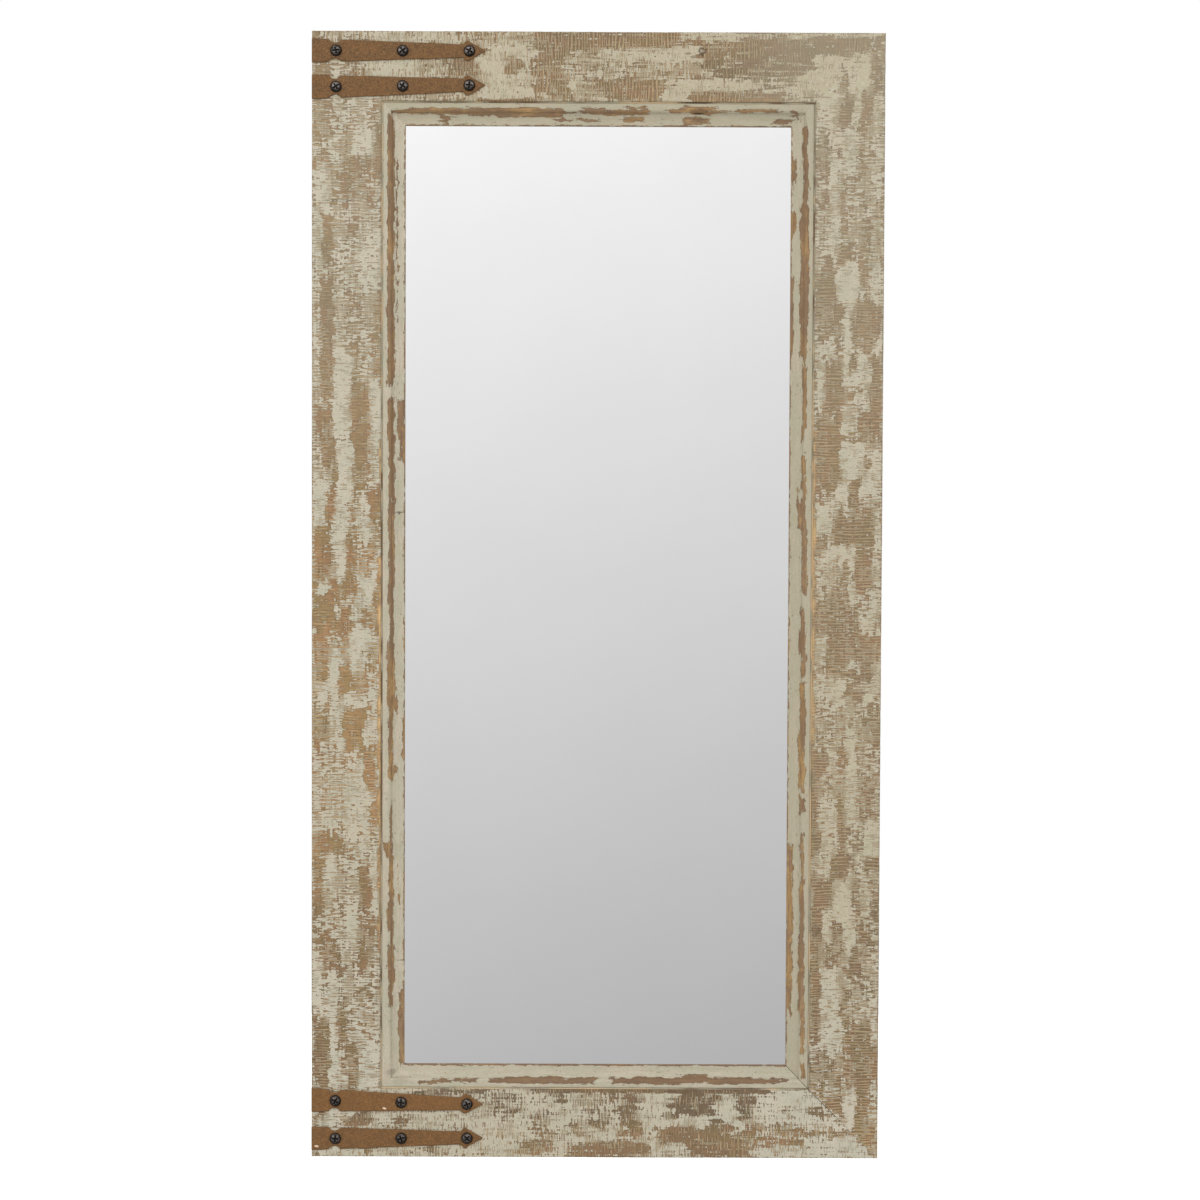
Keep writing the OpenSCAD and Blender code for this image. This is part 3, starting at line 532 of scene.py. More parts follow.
def moulding_section():
    """The moulding's outline, from the groove over the bead, the round, the cove and the lip to the back."""
    half, floor = GROOVE_W / 2, GROOVE_DEEP - GROOVE_W / 2
    round_u = GROOVE_W + BEAD_W
    foot, lip = (round_u + ROUND_R, ROUND_R), (MOULD_W - LIP_W, MOULD_T - LIP_T)
    run = (lip[0] - foot[0], lip[1] - foot[1])
    rise = math.sqrt(COVE_R ** 2 - (run[0] ** 2 + run[1] ** 2) / 4) / math.hypot(*run)
    centre = ((foot[0] + lip[0]) / 2 + rise * run[1], (foot[1] + lip[1]) / 2 - rise * run[0])
    angles = [math.degrees(math.atan2(p[1] - centre[1], p[0] - centre[0])) for p in (foot, lip)]
    sight, back = MOULD_W, MOULD_T
    points = (line((0, back), (0, floor), 3) + arc((half, floor), half, 180, 0, 7)
              + arc((GROOVE_W + BEAD_R, BEAD_R), BEAD_R, 180, 270, 4)
              + line((GROOVE_W + BEAD_R, 0), (round_u, 0), 0.85)
              + arc((round_u, ROUND_R), ROUND_R, 270, 360, 8)
              + arc(centre, COVE_R, angles[0], angles[1], 11)[1:]
              + arc((sight - LIP_R, lip[1] + LIP_R), LIP_R, 270, 360, 5)
              + line((sight, lip[1] + LIP_R), (sight, back), 0.8)
              + [(sight, back), (sight / 2, back), (0, back)])
    return np.array(points) + (BOARD_W, MOULD_STEP)


# Rubbed places: across from the moulding's outer edge and along from the top or left end of its side, in mm
MOULDING_PATCHES = {"left": [
    (5.1, 10.7, 73, 297, 1), (6.8, 8.9, 67, 75, 1), (7.5, 9.5, 295, 301, 1), (12.3, 13.9, 108, 196, 0.6),
    (12.8, 13.8, 196, 242, 0.5), (5.4, 10.9, 310, 340, 1), (13.4, 19.4, 309, 343, 1),
    (6.7, 11.4, 339, 391, 1), (15.2, 19.4, 343, 358, 0.8), (6.4, 11.1, 394, 483, 1),
    (7.3, 10.8, 482, 520, 0.9), (5.3, 11.7, 519, 568, 1), (8.7, 14.2, 563, 573, 1),
    (6.6, 10.5, 573, 628, 0.95), (18, 20.6, 576, 614, 0.8), (8.8, 13.9, 621, 628, 0.7),
    (8, 10.1, 652, 687, 0.85), (2.6, 9.3, 686, 697, 0.95), (6.8, 10.2, 697, 738, 1),
    (5.5, 10.7, 737, 760, 1), (7.3, 9.8, 759, 772, 0.9), (14, 16.6, 729, 740, 0.9), (6.4, 11.6, 772, 802, 1),
    (7.3, 10.8, 801, 821, 1), (15.4, 20.2, 808, 872, 0.75)
], "right": [
    (6, 10.3, 77, 95, 1), (6.3, 10.6, 96, 116, 0.9), (6.1, 10.1, 115, 145, 1), (5, 12.1, 144, 242, 1),
    (6.1, 11.3, 241, 271, 1), (7.2, 9.4, 270, 285, 0.7), (6.1, 9.8, 284, 330, 0.95), (7.3, 9.9, 329, 339, 1),
    (6.7, 10.2, 354, 367, 1), (6.1, 9.6, 371, 395, 1), (6.3, 12.4, 394, 419, 1), (5.1, 9.3, 418, 473, 1),
    (6.6, 9.7, 484, 504, 0.9), (6.1, 11.7, 503, 522, 1), (5.5, 9, 521, 541, 1), (5.4, 9.3, 548, 568, 1),
    (5.3, 10.4, 567, 638, 1), (5.2, 9.5, 644, 659, 1), (5.6, 8.5, 674, 721, 0.75), (5.7, 9.4, 720, 771, 1),
    (4.9, 9.5, 770, 828, 1), (4.2, 7.9, 827, 862, 1), (4.1, 7.2, 870, 889, 0.9), (15.5, 19.4, 107, 124, 0.8),
    (15.2, 19.3, 147, 167, 0.8), (17.1, 20, 207, 266, 0.7), (14.6, 19.4, 685, 771, 0.9),
    (15.1, 19.3, 770, 830, 0.95), (12, 13.8, 380, 401, 0.6)
], "top": [
    (7.2, 10.1, 68, 84, 1), (5.3, 10.1, 83, 138, 1), (4.9, 11.4, 133, 175, 1), (5.4, 12.5, 162, 209, 1),
    (8.2, 9.3, 209, 229, 0.8), (5.3, 9.4, 228, 247, 1), (6.5, 10.5, 246, 284, 1), (3.9, 5.5, 260, 282, 0.8),
    (12.3, 15.7, 261, 280, 0.9), (13.6, 15.9, 201, 246, 0.7), (11.7, 15, 105, 117, 0.8),
    (15.4, 17.9, 107, 116, 0.8), (5.9, 9.1, 303, 318, 1), (3.7, 10.3, 314, 336, 1),
    (6.6, 8.6, 336, 345, 0.9), (12.5, 17.8, 314, 336, 1), (6.1, 7.7, 349, 372, 0.8), (5.6, 8.4, 364, 393, 1),
    (13, 17.6, 386, 404, 0.85), (7.1, 12.1, 404, 409, 0.6), (12.9, 16.8, 409, 415, 0.85)
], "bottom": [
    (4.3, 7.9, 86, 120, 0.7), (5.6, 8.6, 122, 142, 0.8), (5.3, 8.7, 154, 169, 1), (4.6, 10.4, 165, 213, 1),
    (4.7, 8.9, 211, 244, 1), (4.6, 9.7, 255, 316, 1), (6, 12.3, 313, 336, 1), (4.4, 9.4, 335, 373, 1),
    (5.3, 8.8, 365, 399, 0.95), (6.2, 7.9, 401, 404, 0.8)
]}
MOULDING_SEED = {"left": 200, "right": 220, "top": 240, "bottom": 260}
# How far the sight edge is rubbed, and how much darker each side's paint is coloured, a painted shade; below
# 0 paler
SIGHT_RUB = {"left": 0.35, "right": 0.4, "top": 0.3, "bottom": 0.75}
PAINT_SHADE = {"left": 0.0, "right": 0.35, "top": 0.35, "bottom": -0.05}
# How dark the groove is coloured along each moulding, with dirt and painted shade; below 0 how pale, the
# wood's tan lifted by painted light
GROOVE_GRIME_AND_SHADING = {
    "left": [(0, -0.7), (250, -0.5), (380, 0.4), (560, 0.3), (953, 0)],
    "right": [(60, 0.2), (290, 0.1), (400, -0.7), (700, -0.5), (953, 0.1)],
    "top": [(0, -0.3), (150, 0.2), (230, 0.1), (260, -0.5), (300, -0.4), (330, 0), (390, 0.2), (482, -0.3)],
    "bottom": [(0, -0.3), (130, -0.3), (230, -0.35), (280, -0.1), (400, 0), (430, -0.2)],
}
# How dark the bare wood has gone along each moulding
WOOD_SHADE = {
    "left": [(0, 0.35), (380, 0.4), (460, 0), (953, 0.05)],
    "right": [(0, 0.4), (250, 0.35), (400, 0), (953, 0.1)],
    "top": [(0, 0.3), (240, 0.1), (482, 0.3)], "bottom": [(0, 0.65)],
}
# Cracks, knots and a stain: x, z, half width and half height in mm, and how dark
CRACKS = [(-166.5, 72.3, 5.0, 0.8, 0.9), (-167.5, 71.8, 1.4, 1.8, 0.9), (-164.0, -309.0, 6.0, 0.7, 0.8),
          (85.0, 410.6, 8.0, 1.9, 0.45), (84.0, 408.6, 5.0, 0.7, 0.8), (84.5, 403.2, 9.0, 2.8, 0.4),
          (82.0, 417.6, 16.0, 0.6, 0.9), (-173.0, -404.3, 4.2, 2.6, 0.3), (-166.0, -411.0, 6.5, 4.5, 0.13)]


@finish
def painted_moulding(wires, here):
    """Brushed paint over planed pine, rubbed to dark, oiled wood at its high places."""
    place = wires.named("place", "Vector")
    level, aged, shaded, grime = (wires.named(name) for name in ("bare", "aged", "shade", "grime"))
    flake = place.noise((0.6, 0.16, 0.6), (4, 2, 1), 4.0, 0.65)
    fine = place.noise((1.5, 0.8, 1.5), (1, 7, 2), 2.0)
    brush = place.noise((1.4, 0.03, 1.4), (9, 1, 5), 3.0, 0.55)
    slow = place.noise((0.08, 0.02, 0.08), (3, 6, 2), 2.0, 0.5)
    patch = place.noise((0.3, 0.07, 0.3), (6, 3, 8))
    cloud = place.noise((0.2, 0.1, 0.2), (2, 8, 5))
    thin = level * 0.7 + (flake - 0.5) * 3.4 + (fine - 0.5) * 1.3
    bare = thin.step(-0.07, 0.08)
    # Painted shadow: the wood just beside the paint's edge is coloured darker
    wood = slow.step(0.42, 0.58).blend((150, 123, 92), (172, 139, 92)).layered(
        (patch, 0.5, 0.62, 0.6, (139, 106, 82)), (brush, 0.42, 0.6, 0.55, (114, 88, 60)),
        (cloud, 0.54, 0.68, 0.5, (190, 154, 102)), (thin, 0.4, 0.05, 0.5, (84, 64, 44)))
    # Painted highlight: the paint is coloured paler along its rubbed edge
    paint = slow.step(0.4, 0.6).blend((186, 180, 158), (194, 184, 163)).layered(
        (cloud, 0.52, 0.66, 0.5, (174, 172, 144)), (patch, 0.5, 0.64, 0.45, (186, 170, 148)),
        (brush, 0.5, 0.72, 0.4, (164, 150, 122)), (thin, -0.45, -0.12, 0.35, (206, 198, 176)),
        (fine, 0.59, 0.67, 0.6, (120, 106, 80)))
    # Each moulding's paint is coloured darker as a whole by its side's value, a painted shade of that side
    colour = bare.blend(aged.blend(paint, (160, 150, 122)), shaded.blend(wood, (116, 92, 72)))
    # The groove is coloured dark with dirt and painted shade where its value is above 0, and pale, lifted by
    # painted light, where it is below 0
    colour = colour.layered((grime, 0, -0.7, 0.8, (222, 196, 156)), (grime, 0, 0.7, 0.85, (118, 90, 60)))
    for x, z, half_x, half_z, shade in CRACKS:
        reach = here.away((x, -7, z), (half_x, 6, half_z)) + (fine - 0.5) * 1.6
        colour = colour.layered((reach, 1.3, 0.7, shade, (62, 46, 34)))
    height = (1 - bare) * 0.6 + brush * 0.3 + fine * 0.15
    return {"Base Color": colour, "Roughness": 0.5 + bare * 0.22, "Specular IOR Level": 0.4}, height, 0.0004


def moulding_wear(side, across, along):
    """How far a moulding is rubbed, from its own patches."""
    return worn(across - BOARD_W, along, MOULDING_PATCHES[side], -0.85, (0.8, 4.0), (1.8, 6.0),
                MOULDING_SEED[side])


def dress_moulding(side):
    """Builds one moulding, rubbed and slightly uneven, in the place of its CAD solid."""
    seed = MOULDING_SEED[side]

    def sink(across, depth, along):
        front = (depth < MOULD_STEP + MOULD_T - 1.5) * (across > BOARD_W + 1)
        return front * (0.13 * np.clip(over_mitres(side, across, along, moulding_wear), 0, 1)
                        + 0.03 * (1 + rough(across, along, 3, 11, seed + 5)))

    piece, across, depth, along = run_side(f"{side}_moulding_wood", side, moulding_section(), BOARD_W,
                                           MOULD_ROW, sink)
    level = over_mitres(side, across, along, moulding_wear)
    local = across - BOARD_W
    lip = np.clip((local - 18.6) / 0.8, 0, 1) * (1 - np.clip((depth - 10.0) / 0.4, 0, 1))
    level = level + lip * (SIGHT_RUB[side] + 0.75 + 0.5 * rough(local, along, 4, 12, seed + 2))
    level = np.where(depth > MOULD_STEP + MOULD_T - 0.3, 1.0, level)
    groove = (np.clip(1.4 - np.abs(local - GROOVE_W / 2), 0, 1)
              * np.clip((depth - MOULD_STEP - 0.1) / 0.4, 0, 1))
    # The groove's dirt and painted shade along each moulding; below 0 its painted light
    grime_and_shading = np.interp(along, *zip(*GROOVE_GRIME_AND_SHADING[side])) + 0.7 * rough(local, along, 9, 14, seed + 3)
    shade = np.interp(along, *zip(*WOOD_SHADE[side])) + 0.25 * rough(local, along, 8, 30, seed + 4)
    give(piece, bare=level, grime=groove * np.clip(grime_and_shading, -1, 1), shade=np.clip(shade, 0, 1),
         aged=np.full_like(across, PAINT_SHADE[side]))
    piece.data.materials.append(painted_moulding)
    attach(piece, "frame")
    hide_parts(f"{side}_moulding")


for side in MOULDING_SEED:
    dress_moulding(side)


# Mirror glass. One sheet of 4 mm float glass, silvered on its back and painted grey over the silver, held
# against the mouldings. A sliver of the grey shows behind, between the backing board and the frame.
@finish
def mirror_glass(wires, here):
    haze = here.noise(9, 0, 3.0, 0.5)
    back_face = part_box("mirror_glass")[1].y
    paint = here.axis("Y").step(back_face - 0.2 * MM, back_face - 0.05 * MM)
    silver = haze.step(0.3, 0.7).blend((248, 248, 248), (250, 250, 250))
    return {"Base Color": paint.blend(silver, (112, 114, 114)), "Metallic": 1 - paint,
            "Roughness": 0.008 + haze * 0.008 + paint * 0.5}, None, 0


def refinish(material, edge, *nodes):
    """Gives CAD nodes their finish, and breaks their sharp edges by a radius in mm where it isn't 0."""
    for piece in (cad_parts[node] for node in nodes):
        piece.data.materials.clear()
        piece.data.materials.append(material)
        if edge:
            soft = piece.modifiers.new("edge", "BEVEL")
            soft.width, soft.segments, soft.limit_method = edge * MM, 2, "ANGLE"
            soft.angle_limit = math.radians(40)
            soft.harden_normals = True


refinish(mirror_glass, 0, "mirror_glass")


# Backing board. A sheet of 3 mm brown hardboard behind the glass, smooth side out, with the fibre
# flecks and scuffs of the raw sheet.
@finish
def hardboard(wires, here):
    fibre = here.noise(900, 0, 4.0, 0.65)
    cloud = here.noise((16, 16, 10), (2, 3, 1), 3.0, 0.55)
    fleck = here.noise((300, 300, 190), (6, 2, 2), 3.0, 0.65)
    scuff = here.noise((40, 40, 260), (4, 1, 7))
    colour = cloud.step(0.3, 0.7).blend((128, 93, 61), (138, 101, 67)).layered(
        (fleck, 0.52, 0.66, 0.4, (160, 122, 82)), (fleck, 0.46, 0.34, 0.35, (96, 68, 43)),
        (fibre, 0.5, 0.72, 0.5, (168, 132, 92)), (fibre, 0.45, 0.28, 0.4, (84, 58, 36)),
        (scuff, 0.62, 0.75, 0.3, (178, 150, 116)))
    return {"Base Color": colour, "Roughness": 0.45 + fibre * 0.3}, fibre + scuff * 0.5, 0.00012


refinish(hardboard, 0, "backing_board")


# Steel fixings. Flat zinc-plated glazing points driven into the boards hold glass and backing, headless
# pins fix the mouldings, and V nails close the mitres from the back.
@finish
def bright_steel(wires, here):
    grain = here.noise((300, 2400, 300))
    dull = here.noise(120, (5, 2, 1), 3.0, 0.5)
    colour = dull.step(0.35, 0.7).blend((176, 178, 180), (142, 143, 144))
    colour = colour.layered((dull, 0.62, 0.74, 0.6, (128, 98, 72)))
    return {"Base Color": colour, "Metallic": 1.0, "Roughness": 0.26 + dull * 0.3}, grain, 0.00003


refinish(bright_steel, 0.12, "glazing_points", "mitre_nails")
refinish(bright_steel, 0, "moulding_pins")


# Straps. Four straps of 1.5 mm iron on the left-hand corners, cut flush with the frame's side, notched at
# the first screw and cut to a barbed spade; hammered a little uneven and rusted to an even brown.

# Of each strap, the seed of its hammering and how far its colour is turned to a lighter orange
STRAPS = {"strap_top_outer": (310, 0.0), "strap_top_inner": (320, 0.1),
          "strap_bottom_inner": (330, 0.9), "strap_bottom_outer": (340, 0.5)}
# Two small pale spots on the lower straps: x, z and half height in mm
FLAKES = [(-179.2, -434.4, 0.8), (-236.4, -467.2, 1.0)]
# Size of a strap's mesh, how deep it is hammered and pitted, and how far its edges wander, in mm
VOXEL, HAMMERED, PITTED, UNEVEN = 0.55, 0.09, 0.04, 0.16


@finish
def rusty_iron(wires, here):
    cloud = here.noise((90, 90, 120), (1, 2, 3), 4.0)
    spot = here.noise(420, (7, 1, 2), 3.0, 0.65)
    grit = here.noise(1100, (3, 3, 9), 2.0, 0.65)
    colour = cloud.step(0.38, 0.62).blend((110, 80, 48), (121, 86, 49)).layered(
        (spot, 0.52, 0.66, 0.45, (140, 98, 58)), (spot, 0.46, 0.34, 0.45, (94, 73, 51)),
        (grit, 0.51, 0.62, 0.5, (150, 113, 72)), (grit, 0.49, 0.38, 0.55, (74, 55, 37)))
    colour = (wires.named("orange") * 0.28).blend(colour, (154, 106, 54))
    # Painted shade: the strap's sides are coloured darker along its edges
    colour = (wires.named("edge") * 0.5).blend(colour, (84, 64, 45))
    # Two small pale spots, where the flake value is high
    colour = colour.layered((wires.named("flake"), 0.45, 0.6, 1, (226, 200, 172)))
    return {"Base Color": colour, "Metallic": 0.15, "Roughness": 0.66 + (grit - 0.5) * 0.3,
            "Specular IOR Level": 0.35}, spot * 0.6 + grit * 0.5, 0.0003


def forge_strap(node, seed, orange):
    """The strap's solid, with its edges eased and its face hammered uneven."""
    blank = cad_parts[node]
    copy = bpy.data.objects.new(f"{node}_iron", blank.data.copy())
    bpy.context.scene.collection.objects.link(copy)
    voxels = copy.modifiers.new("voxels", "REMESH")
    voxels.mode, voxels.voxel_size = "VOXEL", VOXEL * MM
    ease = copy.modifiers.new("ease", "SMOOTH")
    ease.factor, ease.iterations = 0.5, 3
    done = bpy.data.meshes.new_from_object(copy.evaluated_get(bpy.context.evaluated_depsgraph_get()))
    copy.modifiers.clear()
    copy.data = done
    points = np.empty(len(done.vertices) * 3, np.float32)
    done.vertices.foreach_get("co", points)
    points = points.reshape(-1, 3).astype(float)
    x, z = points[:, 0] / MM, points[:, 2] / MM
    low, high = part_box(node)
    front = points[:, 1] < (low.y + high.y) / 2
    hammer = HAMMERED * (1 + rough(z, x, 6, 9, seed)) + PITTED * (1 + rough(z, x, 2.2, 2.6, seed + 1))
    points[:, 1] += np.where(front, hammer, 0) * MM
    points[:, 0] = np.clip(points[:, 0], low.x, high.x)
    points[:, 1] = np.clip(points[:, 1], low.y, high.y)
    points[:, 2] += UNEVEN * rough(z, x, 40, 12, seed + 2) * MM
    done.vertices.foreach_set("co", points.astype(np.float32).ravel())
    done.shade_smooth()
    normals = np.empty(len(done.vertices) * 3, np.float32)
    done.vertices.foreach_get("normal", normals)
    # How far the surface turns sideways, for the painted shade on the strap's edges
    sideways = 1 - np.abs(normals.reshape(-1, 3)[:, 1])
    flake = np.zeros(len(points))
    for fx, fz, radius in FLAKES:
        away = np.hypot((x - fx) / 2, z - fz + (x - fx) * 0.2) + 0.3 * rough(z, x, 1.6, 1.6, seed + 3)
        flake = np.maximum(flake, np.clip(1.5 - away / radius, 0, 1))
    give(copy, edge=np.clip(sideways * 1.4, 0, 1), flake=flake, orange=np.full_like(flake, orange))
    done.materials.clear()
    done.materials.append(rusty_iron)
    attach(copy, "frame")
    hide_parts(node)


for node, (seed, orange) in STRAPS.items():
    forge_strap(node, seed, orange)


# Strap screws. Twelve round-head steel screws with a cross recess, blackened, rubbed to grey metal round
# the recess and lit there by a painted highlight that fades towards the rim, with painted shade in the
# recess.
# Each stands on a strap and runs 16 mm into the wood.
FIRST_SCREW_X, SCREW_PITCH, STRAP_FRONT = -220.6, 56.0, -11.5
# Of each strap, how high its middle line is at the first screw, its tilt and that screw's turn in degrees;
# every further screw is turned by one step more
STRAP_LINES = [(459.8, 0.0, 10), (429.6, 0.8, 35), (-428.1, -1.3, 60), (-460.4, 0.3, 85)]
TURN_STEP = 25


def screw_points(radius, height, cross, arm, shank, length):
    """Points, faces, recess and rubbed, highlit top of one screw, its axis along Y and its head at the front.
    """
    side = np.linspace(-1, 1, 37)
    s, t = (v.ravel() for v in np.meshgrid(side, side, indexing="ij"))
    wide = np.abs(s) >= np.abs(t)
    ring = np.where(wide, s, t)
    with np.errstate(divide="ignore", invalid="ignore"):
        turn = np.nan_to_num(np.where(wide, math.pi / 4 * t / s, math.pi / 2 - math.pi / 4 * s / t))
    x, z = radius * ring * np.cos(turn), radius * ring * np.sin(turn)
    dome = height * (0.12 + 0.88 * np.sqrt(np.clip(1 - np.abs(ring * 0.985) ** 2.4, 0, 1)))
    recess = np.maximum(*(np.clip((arm * 0.75 - np.abs(p)) / (arm * 0.5), 0, 1)
                          * np.clip((cross / 2 + 0.3 - np.abs(q)) / 0.6, 0, 1) for p, q in ((x, z), (z, x))))
    points = np.stack([x, -(dome - 0.62 * height * recess), z], -1)
    n = len(side)
    grid = np.arange(n * n).reshape(n, n)
    faces = np.stack([grid[:-1, :-1], grid[1:, :-1], grid[1:, 1:], grid[:-1, 1:]], -1).reshape(-1, 4).tolist()
    loop = np.concatenate([grid[0, :-1], grid[:-1, -1], grid[-1, :0:-1], grid[:0:-1, 0]])
    rim = points[loop] * (1 / radius, 0, 1 / radius)
    rings = [(radius, 0), (shank, 0), (shank, length - 4), (0.35, length)]
    below = [rim * (size, 0, size) + (0, deep, 0) for size, deep in rings]
    starts = [loop] + [n * n + i * len(loop) + np.arange(len(loop)) for i in range(len(rings))]
    for upper, lower in zip(starts, starts[1:]):
        faces += np.stack([upper, lower, np.roll(lower, -1), np.roll(upper, -1)], -1).tolist()
    faces.append(starts[-1].tolist())
    points = np.concatenate([points] + below)
    marks = [np.concatenate([head, np.zeros(len(points) - n * n)])
             for head in (recess, 1 - np.abs(ring) ** 1.5)]
    return points, faces, marks


def set_screws(name, node, slot, material, places, seat, outwards, **sizes):
    """Sets a screw at each place (x, z and turn in degrees) as one piece; outwards is -1 at the front."""
    points, faces, marks = screw_points(**sizes)
    points = points * (1, -outwards, 1)
    parts = []
    for x, z, turn in places:
        c, s = math.cos(math.radians(turn)), math.sin(math.radians(turn))
        parts.append(points @ np.array([[c, 0, s], [0, 1, 0], [-s, 0, c]]) + (x, seat, z))
    all_faces = [[i + k * len(points) for i in f] for k in range(len(places)) for f in faces]
    piece = make_mesh(name, np.concatenate(parts) * MM, all_faces)
    recess, rub = (np.tile(mark, len(places)) for mark in marks)
    give(piece, recess=recess, rub=rub)
    piece.data.materials.append(material)
    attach(piece, "frame")
    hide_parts(node)


@finish
def dark_screw(wires, here):
    cloud = here.noise(380, (2, 1, 5), 3.0, 0.55)
    fine = here.noise(1500, (1, 4, 2), 2.0)
    recess, rub = wires.named("recess"), wires.named("rub")
    # Rubbed metal and a painted highlight: the head is coloured paler towards its top, fading to the
    # blackened rim
    rubbed_and_highlit = (rub * 1.1 + (cloud - 0.5) * 1.6 + (fine - 0.5) * 0.5).step(0.25, 0.85)
    # Painted shade: the cross recess is coloured near black
    colour = rubbed_and_highlit.blend((50, 45, 42), (116, 108, 103)).layered(
        (fine, 0.58, 0.72, 0.4, (96, 74, 54)), (recess, 0.25, 0.7, 1, (20, 18, 16)))
    return {"Base Color": colour, "Metallic": 0.9 - recess * 0.6,
            "Roughness": 0.5 - rubbed_and_highlit * 0.2}, fine, 0.00008


set_screws("strap_screw_heads", "strap_screws", "dark_screw", dark_screw,
           [(FIRST_SCREW_X + SCREW_PITCH * i * math.cos(math.radians(tilt)),
             z + SCREW_PITCH * i * math.sin(math.radians(tilt)), turn + TURN_STEP * i)
            for z, tilt, turn in STRAP_LINES for i in range(3)],
           STRAP_FRONT, -1, radius=4.84, height=2.78, cross=5.4, arm=1.1, shank=1.75, length=16.0)


# Hangers. Zinc-plated steel: each plate is one strip rolled round the ring's wire and held by two screws,
# and each ring is a D of 3 mm wire that swings in the roll.
HANGER_X, HANGER_SCREW_Z, PLATE_BACK = 211.75, (262.5, 242.5), 11.2


@finish
def zinc_plate(wires, here):
    cloud = here.noise(160, (4, 1, 2), 3.0, 0.55)
    crystal = here.noise(900, (2, 6, 1), 2.0)
    scratch = here.noise((1800, 1800, 120), (1, 1, 3), 2.0, 0.5)
    # Painted shade: the screw recesses are coloured dark grey
    colour = cloud.step(0.36, 0.66).blend((196, 195, 188), (172, 172, 168)).layered(
        (crystal, 0.55, 0.72, 0.35, (214, 212, 200)), (cloud, 0.64, 0.74, 0.5, (190, 178, 146)),
        (wires.named("recess"), 0.25, 0.7, 1, (72, 70, 66)))
    height = scratch + crystal * 0.5
    return {"Base Color": colour, "Metallic": 1.0, "Roughness": 0.28 + crystal * 0.2}, height, 0.00004


refinish(zinc_plate, 0.2, "left_hanger_plate", "right_hanger_plate")
refinish(zinc_plate, 0, "left_hanger_ring", "right_hanger_ring")
set_screws("hanger_screw_heads", "hanger_screws", "zinc_plate", zinc_plate,
           [(side * HANGER_X, z, 35 + 20 * side) for side in (-1, 1) for z in HANGER_SCREW_Z],
           PLATE_BACK, 1, radius=3.88, height=2.34, cross=4.4, arm=0.95, shank=1.5, length=16.0)


# Bumpers. Two buttons of soft dark rubber with a sticky back, pressed on near the lower corners, keep the
# frame off the wall.
@finish
def bumper_rubber(wires, here):
    dust, pore = here.noise(420, (1, 2, 1)), here.noise(2600, (5, 2, 1), 2.0)
    colour = (dust.step(0.5, 0.75) * 0.5).blend((50, 48, 45), (86, 82, 75))
    return {"Base Color": colour, "Roughness": 0.72 + dust * 0.15}, pore, 0.00008


refinish(bumper_rubber, 0.6, "left_bumper", "right_bumper")


# Floor and room. The mirror hangs with its middle 1.5 m above a plain pale floor, in a white room that
# grows greyer downwards; metal and glass reflect that room and see no floor edge.
FLOOR_REACH, FLOOR_Z = 7, -1.5
ROOM_LIGHT, FLOOR_GLOW = 0.72, 0.6
floor_corners = [(x * FLOOR_REACH, y * FLOOR_REACH, FLOOR_Z) for x, y in ((-1, -1), (1, -1), (1, 1), (-1, 1))]
floor_mesh = bpy.data.meshes.new("floor")
floor_mesh.from_pydata(floor_corners, [], [(0, 1, 2, 3)])
floor = bpy.data.objects.new("floor", floor_mesh)
bpy.context.scene.collection.objects.link(floor)
floor_paint = bpy.data.materials.new("floor")
wires = new_tree(floor_paint)
rays = wires.add("LightPath", {}, {}, pick="Is Camera Ray")
seen_through = wires.add("LightPath", {}, {}, pick="Is Glossy Ray")
matt = wires.add("BsdfDiffuse", {}, {"Color": tint(236, 236, 235)})
glow = wires.add("Emission", {}, {"Color": (1, 1, 1, 1), "Strength": rays * FLOOR_GLOW})
lit = wires.add("AddShader", {}, {0: matt, 1: glow})
clear = wires.add("BsdfTransparent", {}, {})
wires.add("OutputMaterial", {}, {"Surface": wires.add("MixShader", {}, {0: seen_through, 1: lit, 2: clear})})
floor_mesh.materials.append(floor_paint)

world = bpy.data.worlds.new("room")
bpy.context.scene.world = world
wires = new_tree(world)
seen, mirrored, passed = (wires.add("LightPath", {}, {}, pick=ray)
                          for ray in ("Is Camera Ray", "Is Glossy Ray", "Is Transmission Ray"))
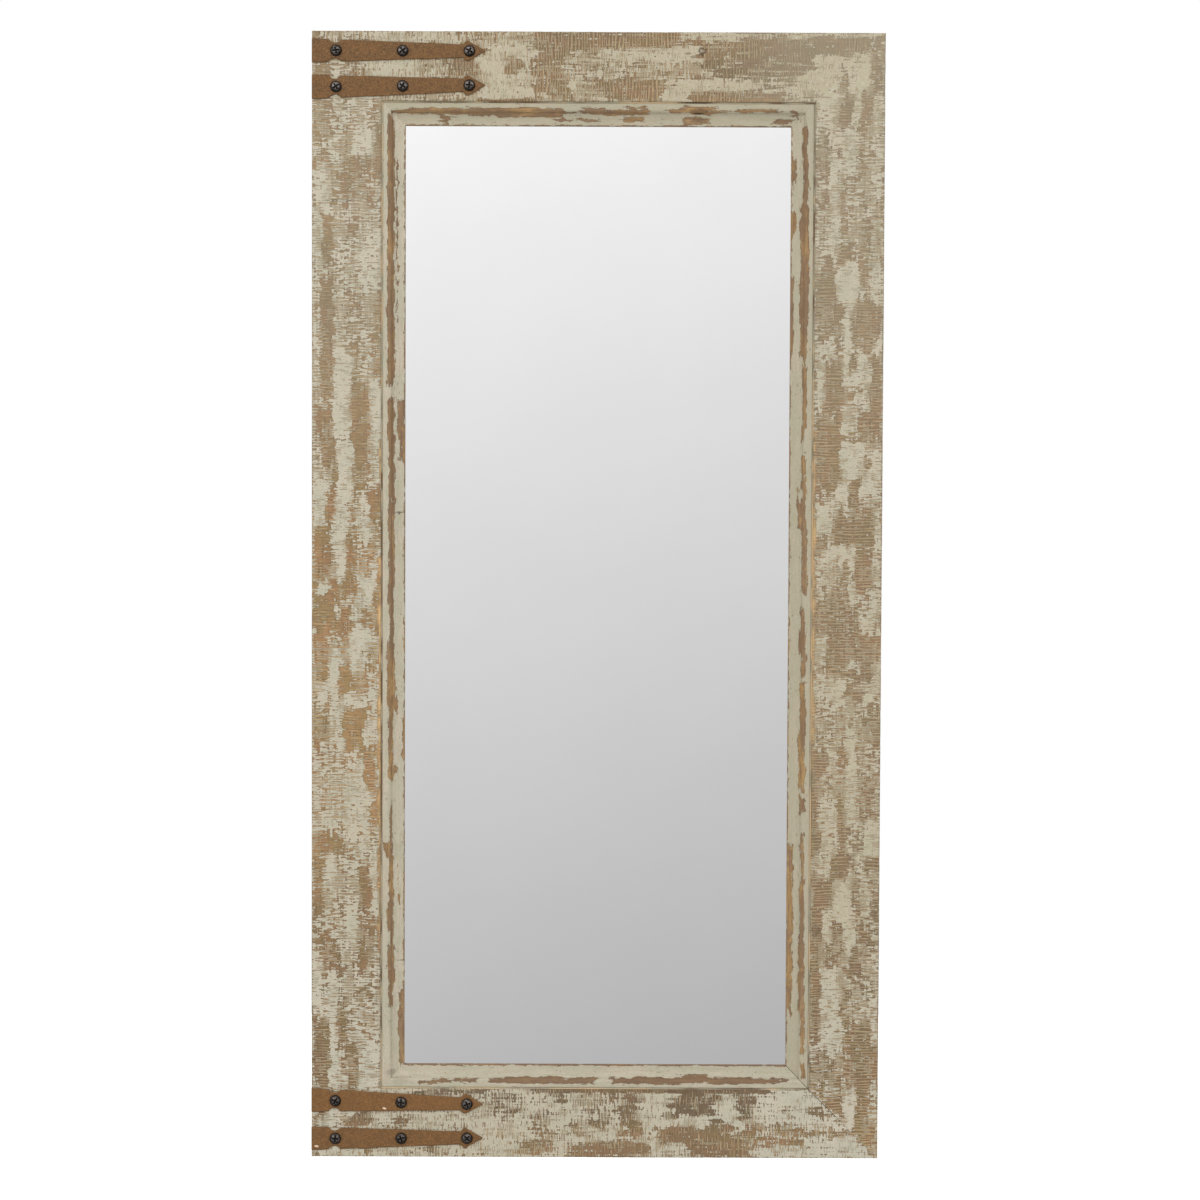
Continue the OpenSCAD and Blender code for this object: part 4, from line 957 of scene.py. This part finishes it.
# Brightness of the room by direction, as a mirror shows it: paler upwards and to the left
where = wires.add("TexCoord", {}, {}, pick="Generated")
screen = where.axis("Z") * 0.94 - where.axis("X") * 0.297 + 0.889
screen = screen.math("MAXIMUM", screen, 0.55)
grey = screen.math("MINIMUM", screen, 1.0) ** 2.2
plain = seen + (1 - seen) * ROOM_LIGHT
shown = mirrored * grey + (1 - mirrored) * (passed + (1 - passed) * plain)
backdrop = wires.add("Background", {}, {"Color": (1, 1, 1, 1), "Strength": shown})
wires.add("OutputWorld", {}, {"Surface": backdrop})

# Lamps. Two large soft boxes, above the camera on either side, the left one stronger, and one behind for the
# views of the back.
LAMP_SIZE = 1.8
for name, spot, power in (("soft_box_left", (-1.7, -2.6, 1.9), 37.0),
                          ("soft_box_right", (2.0, -2.8, 1.2), 20.0),
                          ("soft_box_back", (1.2, 2.8, 1.6), 40.0)):
    lamp = bpy.data.lights.new(name, "AREA")
    lamp.shape, lamp.size, lamp.energy = "SQUARE", LAMP_SIZE, power
    holder = bpy.data.objects.new(name, lamp)
    holder.location = spot
    holder.visible_camera = False
    holder.rotation_mode = "QUATERNION"
    holder.rotation_quaternion = (-Vector(spot)).to_track_quat("-Z", "Y")
    bpy.context.scene.collection.objects.link(holder)

# Camera. It stands 3 m in front of the mirror, looks down by 2.6 degrees and is tilted by a quarter of a
# degree, as the converging sides of the photographed frame show. Its lens suits a picture 1200 pixels wide
# and tall.
AZIMUTH, ELEVATION, ROLL = (math.radians(a) for a in (-0.0639, 2.6108, 0.2309))
AIM, DISTANCE = (0.0028, 0, -0.0015), 3.0
SENSOR_MM, FOCAL_PX, PICTURE_PX = 36.0, 3536.5, 1200
lens = bpy.data.cameras.new("camera")
lens.sensor_width, lens.lens = SENSOR_MM, SENSOR_MM * FOCAL_PX / PICTURE_PX
lens.clip_start, lens.clip_end = 0.1, 60.0
camera = bpy.data.objects.new("camera", lens)
turned = (Matrix.Rotation(AZIMUTH, 4, "Z") @ Matrix.Rotation(math.pi / 2 - ELEVATION, 4, "X")
          @ Matrix.Rotation(ROLL, 4, "Z"))
camera.matrix_world = Matrix.Translation(AIM) @ turned @ Matrix.Translation((0, 0, DISTANCE))
bpy.context.scene.collection.objects.link(camera)
bpy.context.scene.camera = camera
bpy.context.scene.view_settings.view_transform = "Standard"
